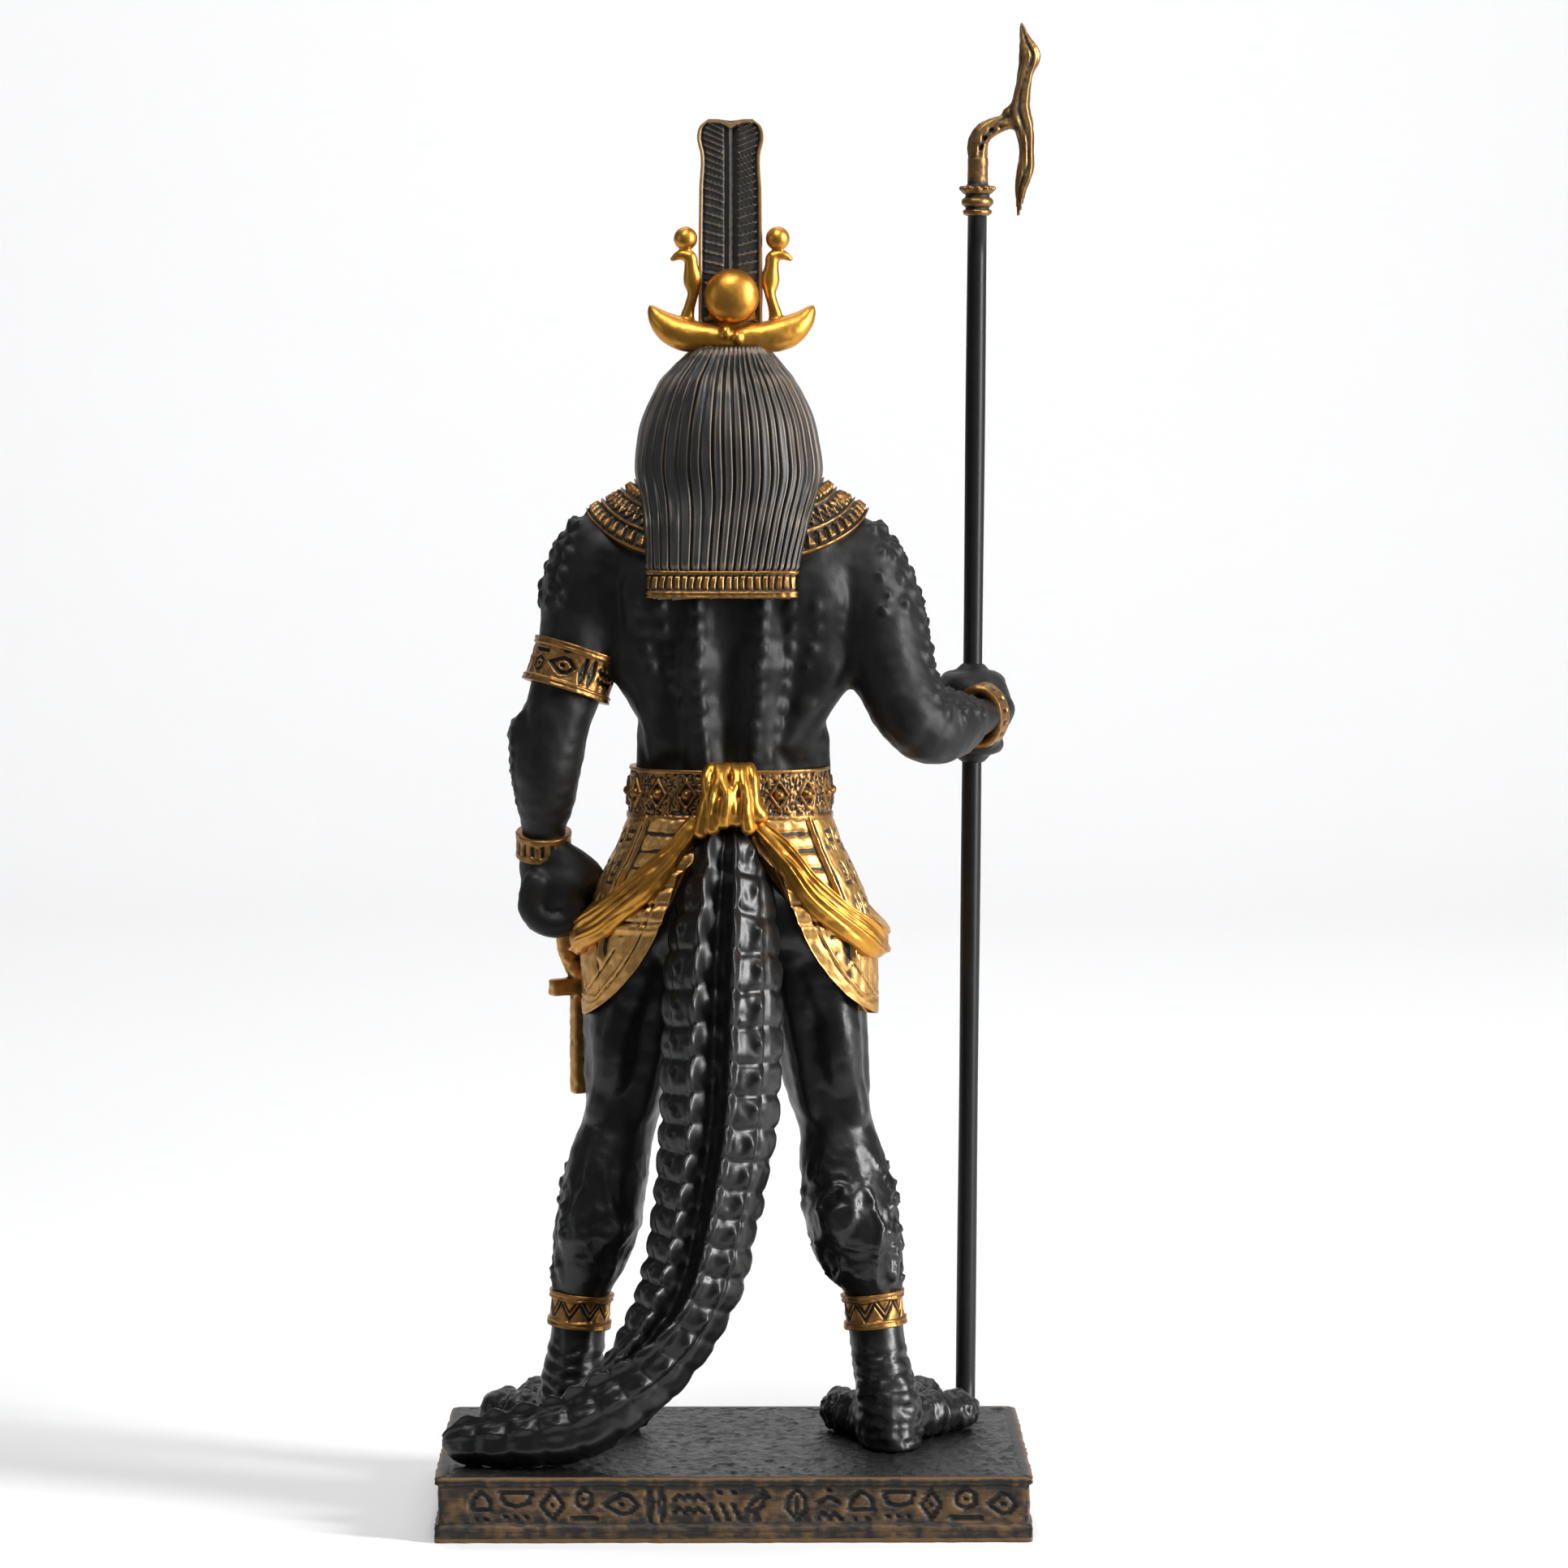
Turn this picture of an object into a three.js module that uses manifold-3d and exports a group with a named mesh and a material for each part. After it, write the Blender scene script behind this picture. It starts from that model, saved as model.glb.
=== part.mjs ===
// A cast crocodile-headed figure with a sceptre, standing on its inscribed plinth.
// Millimetres, +Z up. The origin is the middle of the plinth's underside. The figure
// faces -Y, its left hand with the looped cross is on the +X side, and its tail comes
// down behind it, on the +Y side.

import * as THREE from 'three';
import { mergeVertices } from 'three/addons/utils/BufferGeometryUtils.js';
import Module from 'manifold-3d';

const wasm = await Module();
wasm.setup();

// Driving dimensions
const PLINTH_LENGTH = 118;
const PLINTH_DEPTH = 78;
const PLINTH_HEIGHT = 13;
const PLINTH_CAP = 1.6;
const PLINTH_FOOT = 3.5;
const PLINTH_RECESS = 0.75;
const STROKE_DEPTH = 0.45;
const STROKE_WIDTH = 0.9;
const MARK_PITCH = 8.2;
const FIGURE_HEIGHT = 221;
const CROWN_HEIGHT = 45.7;
const PLUME_WIDTH = 13.6;
const PLUME_THICKNESS = 3;
const BARBS = 8;
const SHAFT_DIAMETER = 4;
const SHAFT_LENGTH = 248;
const FERRULE_HEIGHT = 6.6;
const SCEPTRE_HEIGHT = 32;
const CLEARANCE = 0.3;

// The figure, its pose and its carving are drawn at this height, and take their share of it
const DRAWN_HEIGHT = 221;
const SHARE = FIGURE_HEIGHT / DRAWN_HEIGHT;
const TAU = 2 * Math.PI;

const black = new THREE.MeshStandardMaterial({ color: 0x17171a, roughness: 0.45, metalness: 0.1 });
const gold = new THREE.MeshStandardMaterial({ color: 0xb9802a, roughness: 0.35, metalness: 0.85 });
const oldGold = new THREE.MeshStandardMaterial({ color: 0x6d5229, roughness: 0.5, metalness: 0.7 });
const bronzed = new THREE.MeshStandardMaterial({ color: 0x2b241c, roughness: 0.6, metalness: 0.3 });

const vector = (x, y, z) => new THREE.Vector3(x, y, z);

// A closed body with shared corners, ready to be joined or cut
function toSolid(geometry) {
  const bare = new THREE.BufferGeometry();
  bare.setAttribute('position', geometry.getAttribute('position').clone());
  if (geometry.index) bare.setIndex(geometry.index.clone());
  const merged = mergeVertices(bare, 1e-4);
  const corners = merged.index.array;
  const triVerts = [];
  for (let i = 0; i < corners.length; i += 3) {
    const [a, b, c] = [corners[i], corners[i + 1], corners[i + 2]];
    if (a !== b && b !== c && c !== a) triVerts.push(a, b, c);
  }
  return new wasm.Manifold(new wasm.Mesh({
    numProp: 3,
    vertProperties: new Float32Array(merged.getAttribute('position').array),
    triVerts: new Uint32Array(triVerts),
  }));
}

function toGeometry(solid) {
  const mesh = solid.getMesh();
  const geometry = new THREE.BufferGeometry();
  geometry.setAttribute('position', new THREE.BufferAttribute(mesh.vertProperties, 3));
  geometry.setIndex(new THREE.BufferAttribute(mesh.triVerts, 1));
  geometry.computeVertexNormals();
  return geometry;
}

const join = (solids) => solids.reduce((whole, next) => whole.add(next));

function placed(geometry, x, y, z, turn = [0, 0, 0]) {
  const pose = new THREE.Matrix4().makeRotationFromEuler(new THREE.Euler(...turn));
  pose.setPosition(x, y, z);
  return toSolid(geometry.clone().applyMatrix4(pose));
}

// A skin over rings of points, closed by a fan at each end and turned to face outwards
function skin(rings) {
  const sides = rings[0].length;
  const points = rings.flat();
  const faces = [];
  for (let row = 0; row < rings.length - 1; row += 1) {
    for (let i = 0; i < sides; i += 1) {
      const a = row * sides + i;
      const b = row * sides + ((i + 1) % sides);
      faces.push([a, b, b + sides], [a, b + sides, a + sides]);
    }
  }
  for (const row of [0, rings.length - 1]) {
    const middle = rings[row].reduce((sum, point) => sum.add(point), vector(0, 0, 0)).divideScalar(sides);
    for (let i = 0; i < sides; i += 1) {
      const a = row * sides + i;
      const b = row * sides + ((i + 1) % sides);
      faces.push(row === 0 ? [points.length, b, a] : [points.length, a, b]);
    }
    points.push(middle);
  }
  const cross = vector(0, 0, 0);
  const volume = faces.reduce((sum, [a, b, c]) => (
    sum + points[a].dot(cross.crossVectors(points[b], points[c]))), 0);
  const geometry = new THREE.BufferGeometry().setFromPoints(points);
  geometry.setIndex(faces.flatMap((face) => (volume < 0 ? [...face].reverse() : face)));
  return toSolid(geometry);
}

// Rows of numbers spread along a smooth curve through the rows given
function spread(rows, count) {
  const last = rows.length - 1;
  const row = (i) => rows[Math.min(Math.max(i, 0), last)];
  return Array.from({ length: count }, (_, step) => {
    const t = (step / (count - 1)) * last;
    const k = Math.min(Math.floor(t), last - 1);
    const f = t - k;
    return rows[0].map((_value, j) => {
      const [p, q, r, s] = [row(k - 1)[j], row(k)[j], row(k + 1)[j], row(k + 2)[j]];
      return q + 0.5 * f * (r - p + f * (2 * p - 5 * q + 4 * r - s + f * (3 * (q - r) + s - p)));
    });
  });
}

// The row of a table at a height, with the table's first column as the height
function rowAt(table, height) {
  const top = table.findIndex((row) => row[0] >= height);
  if (top === 0) return table[0];
  if (top < 0) return table[table.length - 1];
  const [low, high] = [table[top - 1], table[top]];
  const f = (height - low[0]) / (high[0] - low[0]);
  return low.map((value, j) => value + f * (high[j] - value));
}

const soft = (value, power) => Math.sign(value) * Math.abs(value) ** power;

// A level ring: centre, half width, reach in front and behind, and how square it is
function level([z, middle, half, front, back], sides, square = 0.85, carve = () => 0, sink = () => 0) {
  return Array.from({ length: sides }, (_, i) => {
    const angle = (TAU * i) / sides;
    const [across, along] = [soft(Math.cos(angle), square), soft(Math.sin(angle), square)];
    const reach = along > 0 ? back : -front;
    const grow = carve(angle, i);
    return vector(middle + (half + grow) * across, (reach + grow) * along, z - sink(angle));
  });
}

const levels = (table, sides, ...shape) => skin(table.map((row) => level(row, sides, ...shape)));

// A ring square to a path: half sizes across it and towards a given side
function crossRing(centre, along, towards, across, deep, sides, carve = () => 1) {
  const up = towards.clone().addScaledVector(along, -towards.dot(along)).normalize();
  const side = new THREE.Vector3().crossVectors(up, along);
  return Array.from({ length: sides }, (_, i) => {
    const angle = (TAU * i) / sides;
    const grow = carve(angle, i);
    return centre.clone()
      .addScaledVector(side, across * grow * Math.cos(angle))
      .addScaledVector(up, deep * grow * Math.sin(angle));
  });
}

// A limb through stations of x, y, z, half size across and half size towards a given side
function limb(stations, sides, towards = vector(0, 1, 0), carve = undefined) {
  const centres = stations.map(([x, y, z]) => vector(x, y, z));
  return skin(stations.map(([, , , across, deep], i) => {
    const before = centres[Math.max(i - 1, 0)];
    const after = centres[Math.min(i + 1, centres.length - 1)];
    const along = after.clone().sub(before).normalize();
    return crossRing(centres[i], along, towards, across, deep, sides, carve);
  }));
}

// The same stations with a raised band between two places along them
function banded(stations, from, to, rise) {
  const between = (t) => {
    const k = Math.floor(t);
    return stations[k].map((value, j) => value + (t - k) * (stations[k + 1][j] - value));
  };
  const edges = [[0, 0], [0, 1], [1, 1], [1, 0]];
  const ring = edges.map(([f, out]) => {
    const [x, y, z, across, deep] = between(from + f * (to - from));
    return [x, y, z, across + rise * out, deep + rise * out];
  });
  return [...stations.slice(0, Math.ceil(from)), ...ring, ...stations.slice(Math.floor(to) + 1)];
}

function ball(x, y, z, size, sides = 8) {
  const [a, b, c] = size;
  return placed(new THREE.SphereGeometry(1, sides, Math.max(4, sides / 2)).scale(a, b, c), x, y, z);
}

// Trunk

const TRUNK = [
  [94, 0.5, 15, -10, 10],
  [108, 0.5, 20, -13, 14],
  [122, 0.5, 19.4, -13, 13],
  [132, 0.4, 18, -11.5, 11],
  [140, 0.4, 17.4, -11, 10.5],
  [150, 0.4, 19, -12.5, 12],
  [159, 0.2, 22.8, -14.5, 14],
  [168, 0, 26, -16, 15.5],
  [177, 0.2, 26.6, -15.5, 15.5],
  [184, 0.6, 23, -12, 13],
  [190, 0.6, 14, -9, 10],
  [198, 0.6, 10, -8, 9],
];
const BACK_FURROW = 2.2;

function trunk() {
  return skin(TRUNK.map((row) => {
    const depth = row[0] > 130 && row[0] < 185 ? BACK_FURROW : 0;
    return level(row, 14, 0.85, (angle) => -depth * Math.exp(-(((angle - TAU / 4) / 0.2) ** 2)));
  }));
}

// Lines of knobs down the back, each a low pyramid standing a little out of the skin
const KNOB_PITCH = 6.6;

function backKnobs() {
  const knobs = [];
  for (const across of [-12, -5.6, 5.6, 12]) {
    for (let z = 140; z < 166; z += KNOB_PITCH) {
      const [, middle, half, , back] = rowAt(TRUNK, z);
      const angle = Math.acos((Math.abs(across) / half) ** (1 / 0.85));
      const reach = back * soft(Math.sin(angle), 0.85);
      const knob = new THREE.ConeGeometry(1.8, 4, 4, 1);
      knobs.push(placed(knob, middle + across, reach - 0.8, z));
    }
  }
  return knobs;
}

// Legs and three-toed feet

const LEFT_LEG = [
  [13, 0, 109, 12, 12.5],
  [18, -1, 98, 11.8, 12.5],
  [20, -2, 88, 10.8, 10.8],
  [21.4, -2, 75, 9, 9],
  [23, -1, 65, 7.5, 8],
  [25.2, 1, 57, 8.4, 8.6],
  [27.2, 3, 46, 8.8, 9.6],
  [28.8, 3, 39, 7.4, 8.2],
  [30.5, 2.6, 32, 5.9, 6.3],
  [31.2, 2.4, 25, 5.6, 5.8],
  [32.2, 3, 17, 6, 6.8],
  [33.4, 3.6, 8, 6.8, 8.4],
  [33.6, 3.8, 0, 6.6, 8.8],
];
const RIGHT_LEG = [
  [-12, 0, 109, 12, 12.5],
  [-16, -1, 98, 11.8, 12.5],
  [-16.9, -2, 88, 9.9, 10.8],
  [-18.6, -2, 75, 9, 9],
  [-20.6, -1, 65, 7.6, 8],
  [-22, 1, 57, 8.6, 8.6],
  [-23.8, 3.4, 46, 9.4, 9.8],
  [-25.6, 3.4, 39, 7.8, 8.4],
  [-27.8, 3, 32, 5.7, 6.3],
  [-28.6, 3, 25, 5.6, 5.8],
  [-29.6, 4, 17, 5.8, 6.8],
  [-31.4, 5.2, 8, 6.8, 8.4],
  [-32, 5.6, 0, 6.2, 8.8],
];

// One toe: two knuckles swell along it, and its end is blunt
function toe(root, tip) {
  const swell = [4.2, 5, 4.2, 4.8, 3.8];
  const stations = swell.map((size, i) => {
    const f = i / (swell.length - 1);
    const height = 0.92 * size;
    return [
      root[0] + f * (tip[0] - root[0]),
      root[1] + f * (tip[1] - root[1]),
      height,
      size,
      height,
    ];
  });
  return limb(stations, 5, vector(0, 0, 1));
}

const foot = (heel, tips) => tips.map((tip) => toe(heel, tip));

// Arms and hands

const LEFT_ARM = [
  [22, 1, 183, 6, 8],
  [27, 1, 179.6, 8.6, 10],
  [29.4, 1.5, 173, 9.8, 10.4],
  [30.5, 2, 165, 9.2, 9.4],
  [33.2, 3, 156, 7.9, 8.4],
  [36, 4, 147, 7.1, 7.8],
  [38, 4, 139, 7.6, 7.8],
  [37.9, 2.6, 132, 6.8, 6.9],
  [38, 0, 124, 4.8, 5.2],
  [37.8, -1.6, 117, 4.8, 5.6],
];
const RIGHT_ARM = [
  [-22, 1, 182, 6, 8],
  [-25.4, 1, 178.6, 8, 9.8],
  [-27.6, 2, 172, 9.4, 10.4],
  [-29.6, 4, 164, 9.6, 9.6],
  [-32.2, 7.4, 155.8, 8.3, 8.6],
  [-35.2, 10.6, 148.6, 7.4, 8],
  [-39.2, 9.6, 145, 7, 7.2],
  [-43.4, 3.6, 145.6, 7, 7],
  [-47.4, -3.4, 146.4, 6.4, 6.4],
  [-50.8, -9.6, 147, 5, 5.4],
  [-51.6, -15, 147.4, 5.2, 5.8],
];
// Where each band begins and ends, counted in stations down its limb
const ARMLET = [3.38, 4.44];
const BRACELET = [8.02, 8.74];
const WRISTLET = [8.85, 9.55];
const ANKLET = [8.16, 9.14];
// Where the sceptre passes through the right hand, and where it stands
const GRIP = { x: -49, y: -24, z: 147 };
const SHAFT_FOOT = { x: -47.9, y: -24 };

// A roll through points, for a thumb
const roll = (points, size) => limb(points.map((point) => [...point, size, size]), 5, vector(0.3, 0.5, 0.8));

// A closed hand round a line: four fingers swell along it, on the side it is turned to
function fist(from, to, across, deep, towards) {
  const rows = [0.72, 1, 0.86, 1, 0.86, 1, 0.86, 1, 0.72];
  return limb(rows.map((swell, i) => {
    const f = i / (rows.length - 1);
    const centre = vector(...from).lerp(vector(...to), f);
    return [centre.x, centre.y, centre.z, across * swell, deep * swell];
  }), 6, towards);
}

const leftHand = () => [
  limb([[37.8, -1, 119, 4.2, 5.4], [36.8, -3, 114.4, 5.4, 7.2], [36.2, -4, 108, 5.4, 7.4]], 7),
  fist([36.2, 4.6, 109], [34.6, -13, 110], 7, 7.4, vector(0, 0, 1)),
  roll([[35, -6, 115.6], [30, -8, 114], [27.4, -7, 109.6]], 3),
];

const rightHand = () => [
  limb([
    [GRIP.x - 3.4, GRIP.y + 11, 146.2, 5, 5.6], [GRIP.x - 1.6, GRIP.y + 5, 146.8, 5, 7.4],
  ], 7, vector(0, 0, 1)),
  fist([GRIP.x - 0.8, GRIP.y, 138.4], [GRIP.x - 0.6, GRIP.y, 155.4], 6.6, 6.8, vector(0, 1, 0)),
  roll([
    [GRIP.x - 1.4, GRIP.y + 7, 150.6], [GRIP.x + 3.4, GRIP.y + 5, 152.6], [GRIP.x + 4.2, GRIP.y - 1, 153],
  ], 2.4),
];

// Kilt, belt and sash

const KILT = [
  [87.5, 0.6, 29.1, -19, 17],
  [96, 0.8, 29.3, -19.4, 18],
  [104, 0.9, 29.2, -19, 18.4],
  [113, 0.9, 26.6, -17.4, 17.4],
  [121, 0.7, 22.7, -15.4, 15.6],
  [128, 0.7, 20, -14, 14],
];
const KILT_DEPTH = 2;
const TRIM_WIDTH = 4.4;
const TRIM_RISE = 0.6;
const KNOT_FOLD = 1.3;
const BELT_LOW = 127;
const BELT_HIGH = 137.2;
const BELT_STUDS = 12;

const swollen = (table, grow) => table.map(([z, middle, half, front, back]) => (
  [z, middle, half + grow, front - grow, back + grow]));

// A point on the kilt, or a little off it, at a height and an angle from +X
function kiltPoint(angle, z, off) {
  return level(rowAt(swollen(KILT, off), z), 72)[((Math.round((angle * 72) / 360) % 72) + 72) % 72];
}

// The opening behind, between the two wings of the kilt, cut straight through from +Y
function wingOpening(inset, near, far) {
  const outline = new THREE.Shape();
  outline.moveTo(-27 + 1.4 * inset, 80);
  outline.lineTo(-27 + 1.4 * inset, 89.5);
  outline.quadraticCurveTo(-15 + inset, 96, -9.5 + inset, 116);
  outline.lineTo(0.5, 124);
  outline.lineTo(11 - inset, 116);
  outline.quadraticCurveTo(16 - inset, 97, 28 - 1.4 * inset, 89.5);
  outline.lineTo(28 - 1.4 * inset, 80);
  const block = new THREE.ExtrudeGeometry(outline, { depth: far - near, bevelEnabled: false, curveSegments: 2 });
  return toSolid(block.rotateX(TAU / 4).translate(0, far, 0));
}

function kilt() {
  const cloth = levels(KILT, 18);
  const raised = levels(swollen(KILT.filter(([z]) => z < 118), TRIM_RISE), 18);
  const hemTop = KILT[0][0] + TRIM_WIDTH;
  const hemStrip = toSolid(new THREE.BoxGeometry(90, 60, 2 * TRIM_WIDTH).translate(0, 0, hemTop - TRIM_WIDTH));
  const wingStrip = wingOpening(-TRIM_WIDTH, KILT_DEPTH, 40);
  const trim = raised.intersect(hemStrip.add(wingStrip));
  return cloth.add(trim).subtract(wingOpening(0, KILT_DEPTH, 60));
}

// Pleats across the cloth on either side of the sash, and a rib beside them
function pleats() {
  const bars = [];
  for (const side of [-1, 1]) {
    for (let row = 0; row < 4; row += 1) {
      const z = 123 - 3.8 * row;
      const from = kiltPoint(90 - side * (34 + 2 * row), z, 0);
      const to = kiltPoint(90 - side * (54 + row), z, 0);
      bars.push(limb([from, to].map((point) => [point.x, point.y, point.z, 0.9, 1.2]), 4, vector(0, 0, 1)));
    }
    const rib = [126, 118, 110, 102].map((z) => {
      const point = kiltPoint(90 - side * (58 + (125 - z) / 3), z, 0);
      return [point.x, point.y, point.z, 1.1, 1];
    });
    bars.push(limb(rib, 4));
  }
  return bars;
}

function belt() {
  const half = rowAt(KILT, BELT_LOW)[2];
  const rows = [[0, 0.5], [0.16, 0], [0.84, 0], [1, 0.3]];
  const shape = rows.map(([f, out]) => [
    BELT_LOW + f * (BELT_HIGH - BELT_LOW), 0.7, half - 0.6 * f + out, -14 - out, 14 + out]);
  const middle = (BELT_LOW + BELT_HIGH) / 2;
  const lozenge = new THREE.OctahedronGeometry(1).scale(1.6, 2.5, 3.1);
  const studs = [];
  for (let i = 0; i < BELT_STUDS; i += 1) {
    const angle = (TAU * (i + 0.5)) / BELT_STUDS;
    const [x, y] = [0.7 + (half - 0.6) * soft(Math.cos(angle), 0.85), 14.1 * soft(Math.sin(angle), 0.85)];
    const turn = [0, 0, Math.atan2(y / 14, x / half)];
    studs.push(placed(lozenge, x, y, middle, turn));
  }
  return [levels(shape, 18), ...studs];
}

// Half of the sash: it leaves the knot, sags to the hip and climbs again in front
function swag(side) {
  const rows = [[84, 127], [66, 119], [46, 111], [24, 104.4], [2, 102.6], [-24, 105.6], [-48, 114], [-70, 124]];
  const centres = rows.map(([angle, z]) => kiltPoint(90 - side * (90 - angle), z, 0.8));
  return skin(centres.map((centre, i) => {
    const before = centres[Math.max(i - 1, 0)];
    const after = centres[Math.min(i + 1, centres.length - 1)];
    const out = vector(centre.x, centre.y, 0).normalize();
    const along = after.clone().sub(before).normalize();
    const folds = (_angle, k) => (k % 2 ? 1 : 0.86);
    return crossRing(centre, along, out, i === 0 ? 2 : 3.1, 1.6, 6, folds);
  }));
}

// The knot gathers the sash in upright folds over the root of the tail
const knot = () => lockSheet([
  [126.8, 1.2, 6.6, 17.4, 2.6], [130, 1.2, 6.4, 18.4, 2.4], [135.4, 1, 5.2, 17.4, 1.6], [140.4, 1, 4.4, 15.6, 2],
], 4, 7, 1, KNOT_FOLD);

// A straight panel hangs in front, with bars across it
function apron() {
  const panel = new THREE.Shape([
    new THREE.Vector2(-6, 127), new THREE.Vector2(6, 127), new THREE.Vector2(9, 82), new THREE.Vector2(-9, 82)]);
  const cloth = new THREE.ExtrudeGeometry(panel, { depth: 3, bevelEnabled: false }).rotateX(TAU / 4);
  const bars = Array.from({ length: 5 }, (_, i) => (
    placed(new THREE.BoxGeometry(11 + 0.8 * i, 1.4, 2), 0.5, -21.4, 117 - 7 * i)));
  return [toSolid(cloth.translate(0.5, -18.4, 0)), ...bars];
}

// Tail: plated segments on a smooth curve, two keels down its back drawing together

const TAIL_PATH = [
  [0.6, 7, 130], [0.6, 13, 117], [0.8, 17.4, 100], [1.4, 19.4, 82], [2.8, 20.4, 65], [5.2, 21, 49],
  [9.2, 22, 33], [17.8, 23.6, 18.4], [30, 25, 7.8], [42, 24.6, 5], [52, 23.6, 4], [57.2, 22.8, 3.6]];
const TAIL_GIRTH = [
  [0, 4.6, 5], [0.08, 7.8, 7.8], [0.2, 11, 9.2], [0.4, 12, 9.8], [0.6, 10.6, 9], [0.7, 8.6, 8], [0.76, 7.6, 7.2],
  [0.86, 6.4, 5.8], [0.93, 4.6, 4.2], [1, 3.2, 3]];
const TAIL_SEGMENTS = 22;
const TAIL_ANGLES = [-90, -25, 30, 70, 90, 110, 150, 205];

function tail() {
  const path = new THREE.CatmullRomCurve3(TAIL_PATH.map((point) => vector(...point)));
  const rings = [];
  for (let i = 0; i <= 2 * TAIL_SEGMENTS; i += 1) {
    const u = i / (2 * TAIL_SEGMENTS);
    const plate = i % 2;
    const [, across, deep] = rowAt(TAIL_GIRTH, u);
    const lie = THREE.MathUtils.smoothstep(u, 0.55, 0.95);
    const up = vector(0.35 * lie, 1 - 0.75 * lie, lie);
    const along = path.getTangentAt(u);
    up.addScaledVector(along, -up.dot(along)).normalize();
    const side = new THREE.Vector3().crossVectors(up, along);
    rings.push(TAIL_ANGLES.map((degrees) => {
      const angle = THREE.MathUtils.degToRad(degrees);
      const keel = plate && Math.abs(Math.abs(degrees - 90) - 20) < 1 ? 1.5 : 0;
      const swell = plate && degrees > -60 && degrees < 240 ? 0.5 : 0;
      return path.getPointAt(u)
        .addScaledVector(side, (across + keel + swell) * Math.cos(angle))
        .addScaledVector(up, (deep + keel + swell) * Math.sin(angle));
    }));
  }
  return skin(rings);
}

// Head, wig and collar

const WIG = [
  [183, 0.6, 16, -10, 14],
  [195, 0.6, 19.3, -13.6, 17.6],
  [203, 0.9, 18.1, -14, 18],
  [210.6, 1.1, 15.3, -12, 16],
  [217, 0.7, 11.2, -8.6, 12.2],
  [DRAWN_HEIGHT, 0.3, 8.2, -6, 8.6],
];
const WIG_LOCKS = 16;
const LOCK_GROOVE = 0.55;

const lockCut = (_angle, i) => (i % 2 ? 0 : -LOCK_GROOVE);

// A hanging sheet of locks: its levels give height, middle, half width, face and how far its edges curl
function lockSheet(rows, locks, thickness, outwards, groove = LOCK_GROOVE) {
  return skin(rows.map(([z, middle, half, face, curl]) => {
    const edge = Array.from({ length: 2 * locks + 1 }, (_, i) => {
      const f = i / locks - 1;
      return vector(middle + half * f, face - outwards * (curl * f * f + (i % 2 ? 0 : groove)), z);
    });
    const inside = [0.9, 0, -0.9].map((f) => (
      vector(middle + 0.94 * half * f, face - outwards * (curl * f * f + thickness), z)));
    return [...edge, ...inside];
  }));
}

function wig() {
  const dome = levels(WIG, 2 * WIG_LOCKS, 0.92, lockCut);
  const flap = lockSheet([
    [172.2, 2, 15.5, 21.3, 3], [177.3, 1.9, 15.9, 20.9, 3.6], [177.6, 1.8, 15.4, 20, 3.8], [187, 1, 17.6, 18.9, 6.6],
    [197, 0.6, 18.6, 18, 10],
  ], 6, 5.4, 1);
  const lappets = [-1, 1].map((side) => lockSheet([
    [166, side * 13, 5.2, -19.4, 1], [178, side * 13.4, 5.6, -18, 1.4], [190, side * 13.6, 5.4, -14.6, 2],
  ], 2, 4, -1));
  return [dome, flap, ...lappets];
}

const COLLAR = [
  [198, 0.6, 14, -10, 11],
  [193.6, 0.6, 20, -15, 13.6],
  [190.6, 0.6, 25, -18.6, 15.4],
  [188.6, 0.9, 28, -21, 17],
  [186.8, 0.9, 27.8, -20.6, 16.6],
  [181, 0.6, 19, -12, 12],
];

// The rim sinks over the back and still more over the chest
const collarSink = (reach) => (angle) => (Math.sin(angle) > 0 ? 8 : 14) * Math.abs(Math.sin(angle)) ** 1.4 * reach;

function collar() {
  return skin(COLLAR.map((row) => {
    const reach = Math.min(1, (198 - row[0]) / 10);
    return level(row, 22, 0.85, () => 0, collarSink(reach));
  }));
}

// Stations along the snout: y, half width, top and bottom
function jaw(rows, sides = 12) {
  return skin(rows.map(([y, half, high, low]) => Array.from({ length: sides }, (_, i) => {
    const angle = (TAU * i) / sides;
    return vector(half * soft(Math.cos(angle), 0.8), y, (high + low) / 2 + ((high - low) / 2) * soft(Math.sin(angle), 0.8));
  })));
}

function head() {
  const upper = jaw([
    [2, 12, 214, 194], [-11, 12.4, 214, 198], [-17, 11.4, 212.6, 199.6], [-22, 9, 209.6, 200.2],
    [-30, 6.8, 206.8, 200.4], [-39, 6, 205.4, 200.4], [-44.6, 6.6, 207, 200.2], [-49, 3.6, 204.6, 201],
  ], 8);
  const lower = jaw([
    [2, 11, 203, 188], [-10, 11.6, 202, 190.6], [-20, 8.6, 201, 193.4], [-32, 5.8, 200.6, 195.6],
    [-42, 5.4, 200.4, 196.4], [-46, 3, 200.2, 197.6]], 8);
  const brows = [-1, 1].map((side) => limb([
    [side * 8.4, -9, 213, 2.4, 2], [side * 8, -14, 215, 2.9, 3], [side * 7.4, -18.6, 214, 2.6, 2.6], [side * 6.4, -23, 210, 1.4, 1.2],
  ], 5, vector(0, 0, 1)));
  return [upper, lower, ...brows];
}

// Looped cross that hangs from the left hand
const ANKH = { x: 30.4, y: -5.4, z: 92.4, width: 12.6, stem: 22.6, bar: 3.2, thick: 2.8 };

function ankh() {
  const { x, y, z, width, stem, bar, thick } = ANKH;
  const turn = [0, 0, 0.5];
  const cross = placed(new THREE.BoxGeometry(width, thick, bar), x, y, z, turn);
  const stroke = placed(new THREE.BoxGeometry(bar, thick, stem), x, y, z - stem / 2, turn);
  const loop = new THREE.TorusGeometry(4, 1.4, 4, 8).scale(1, 1.5, 1).rotateX(TAU / 4);
  return [cross, stroke, placed(loop, x + 0.4, y + 0.4, z + 8.4, turn)];
}

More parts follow.
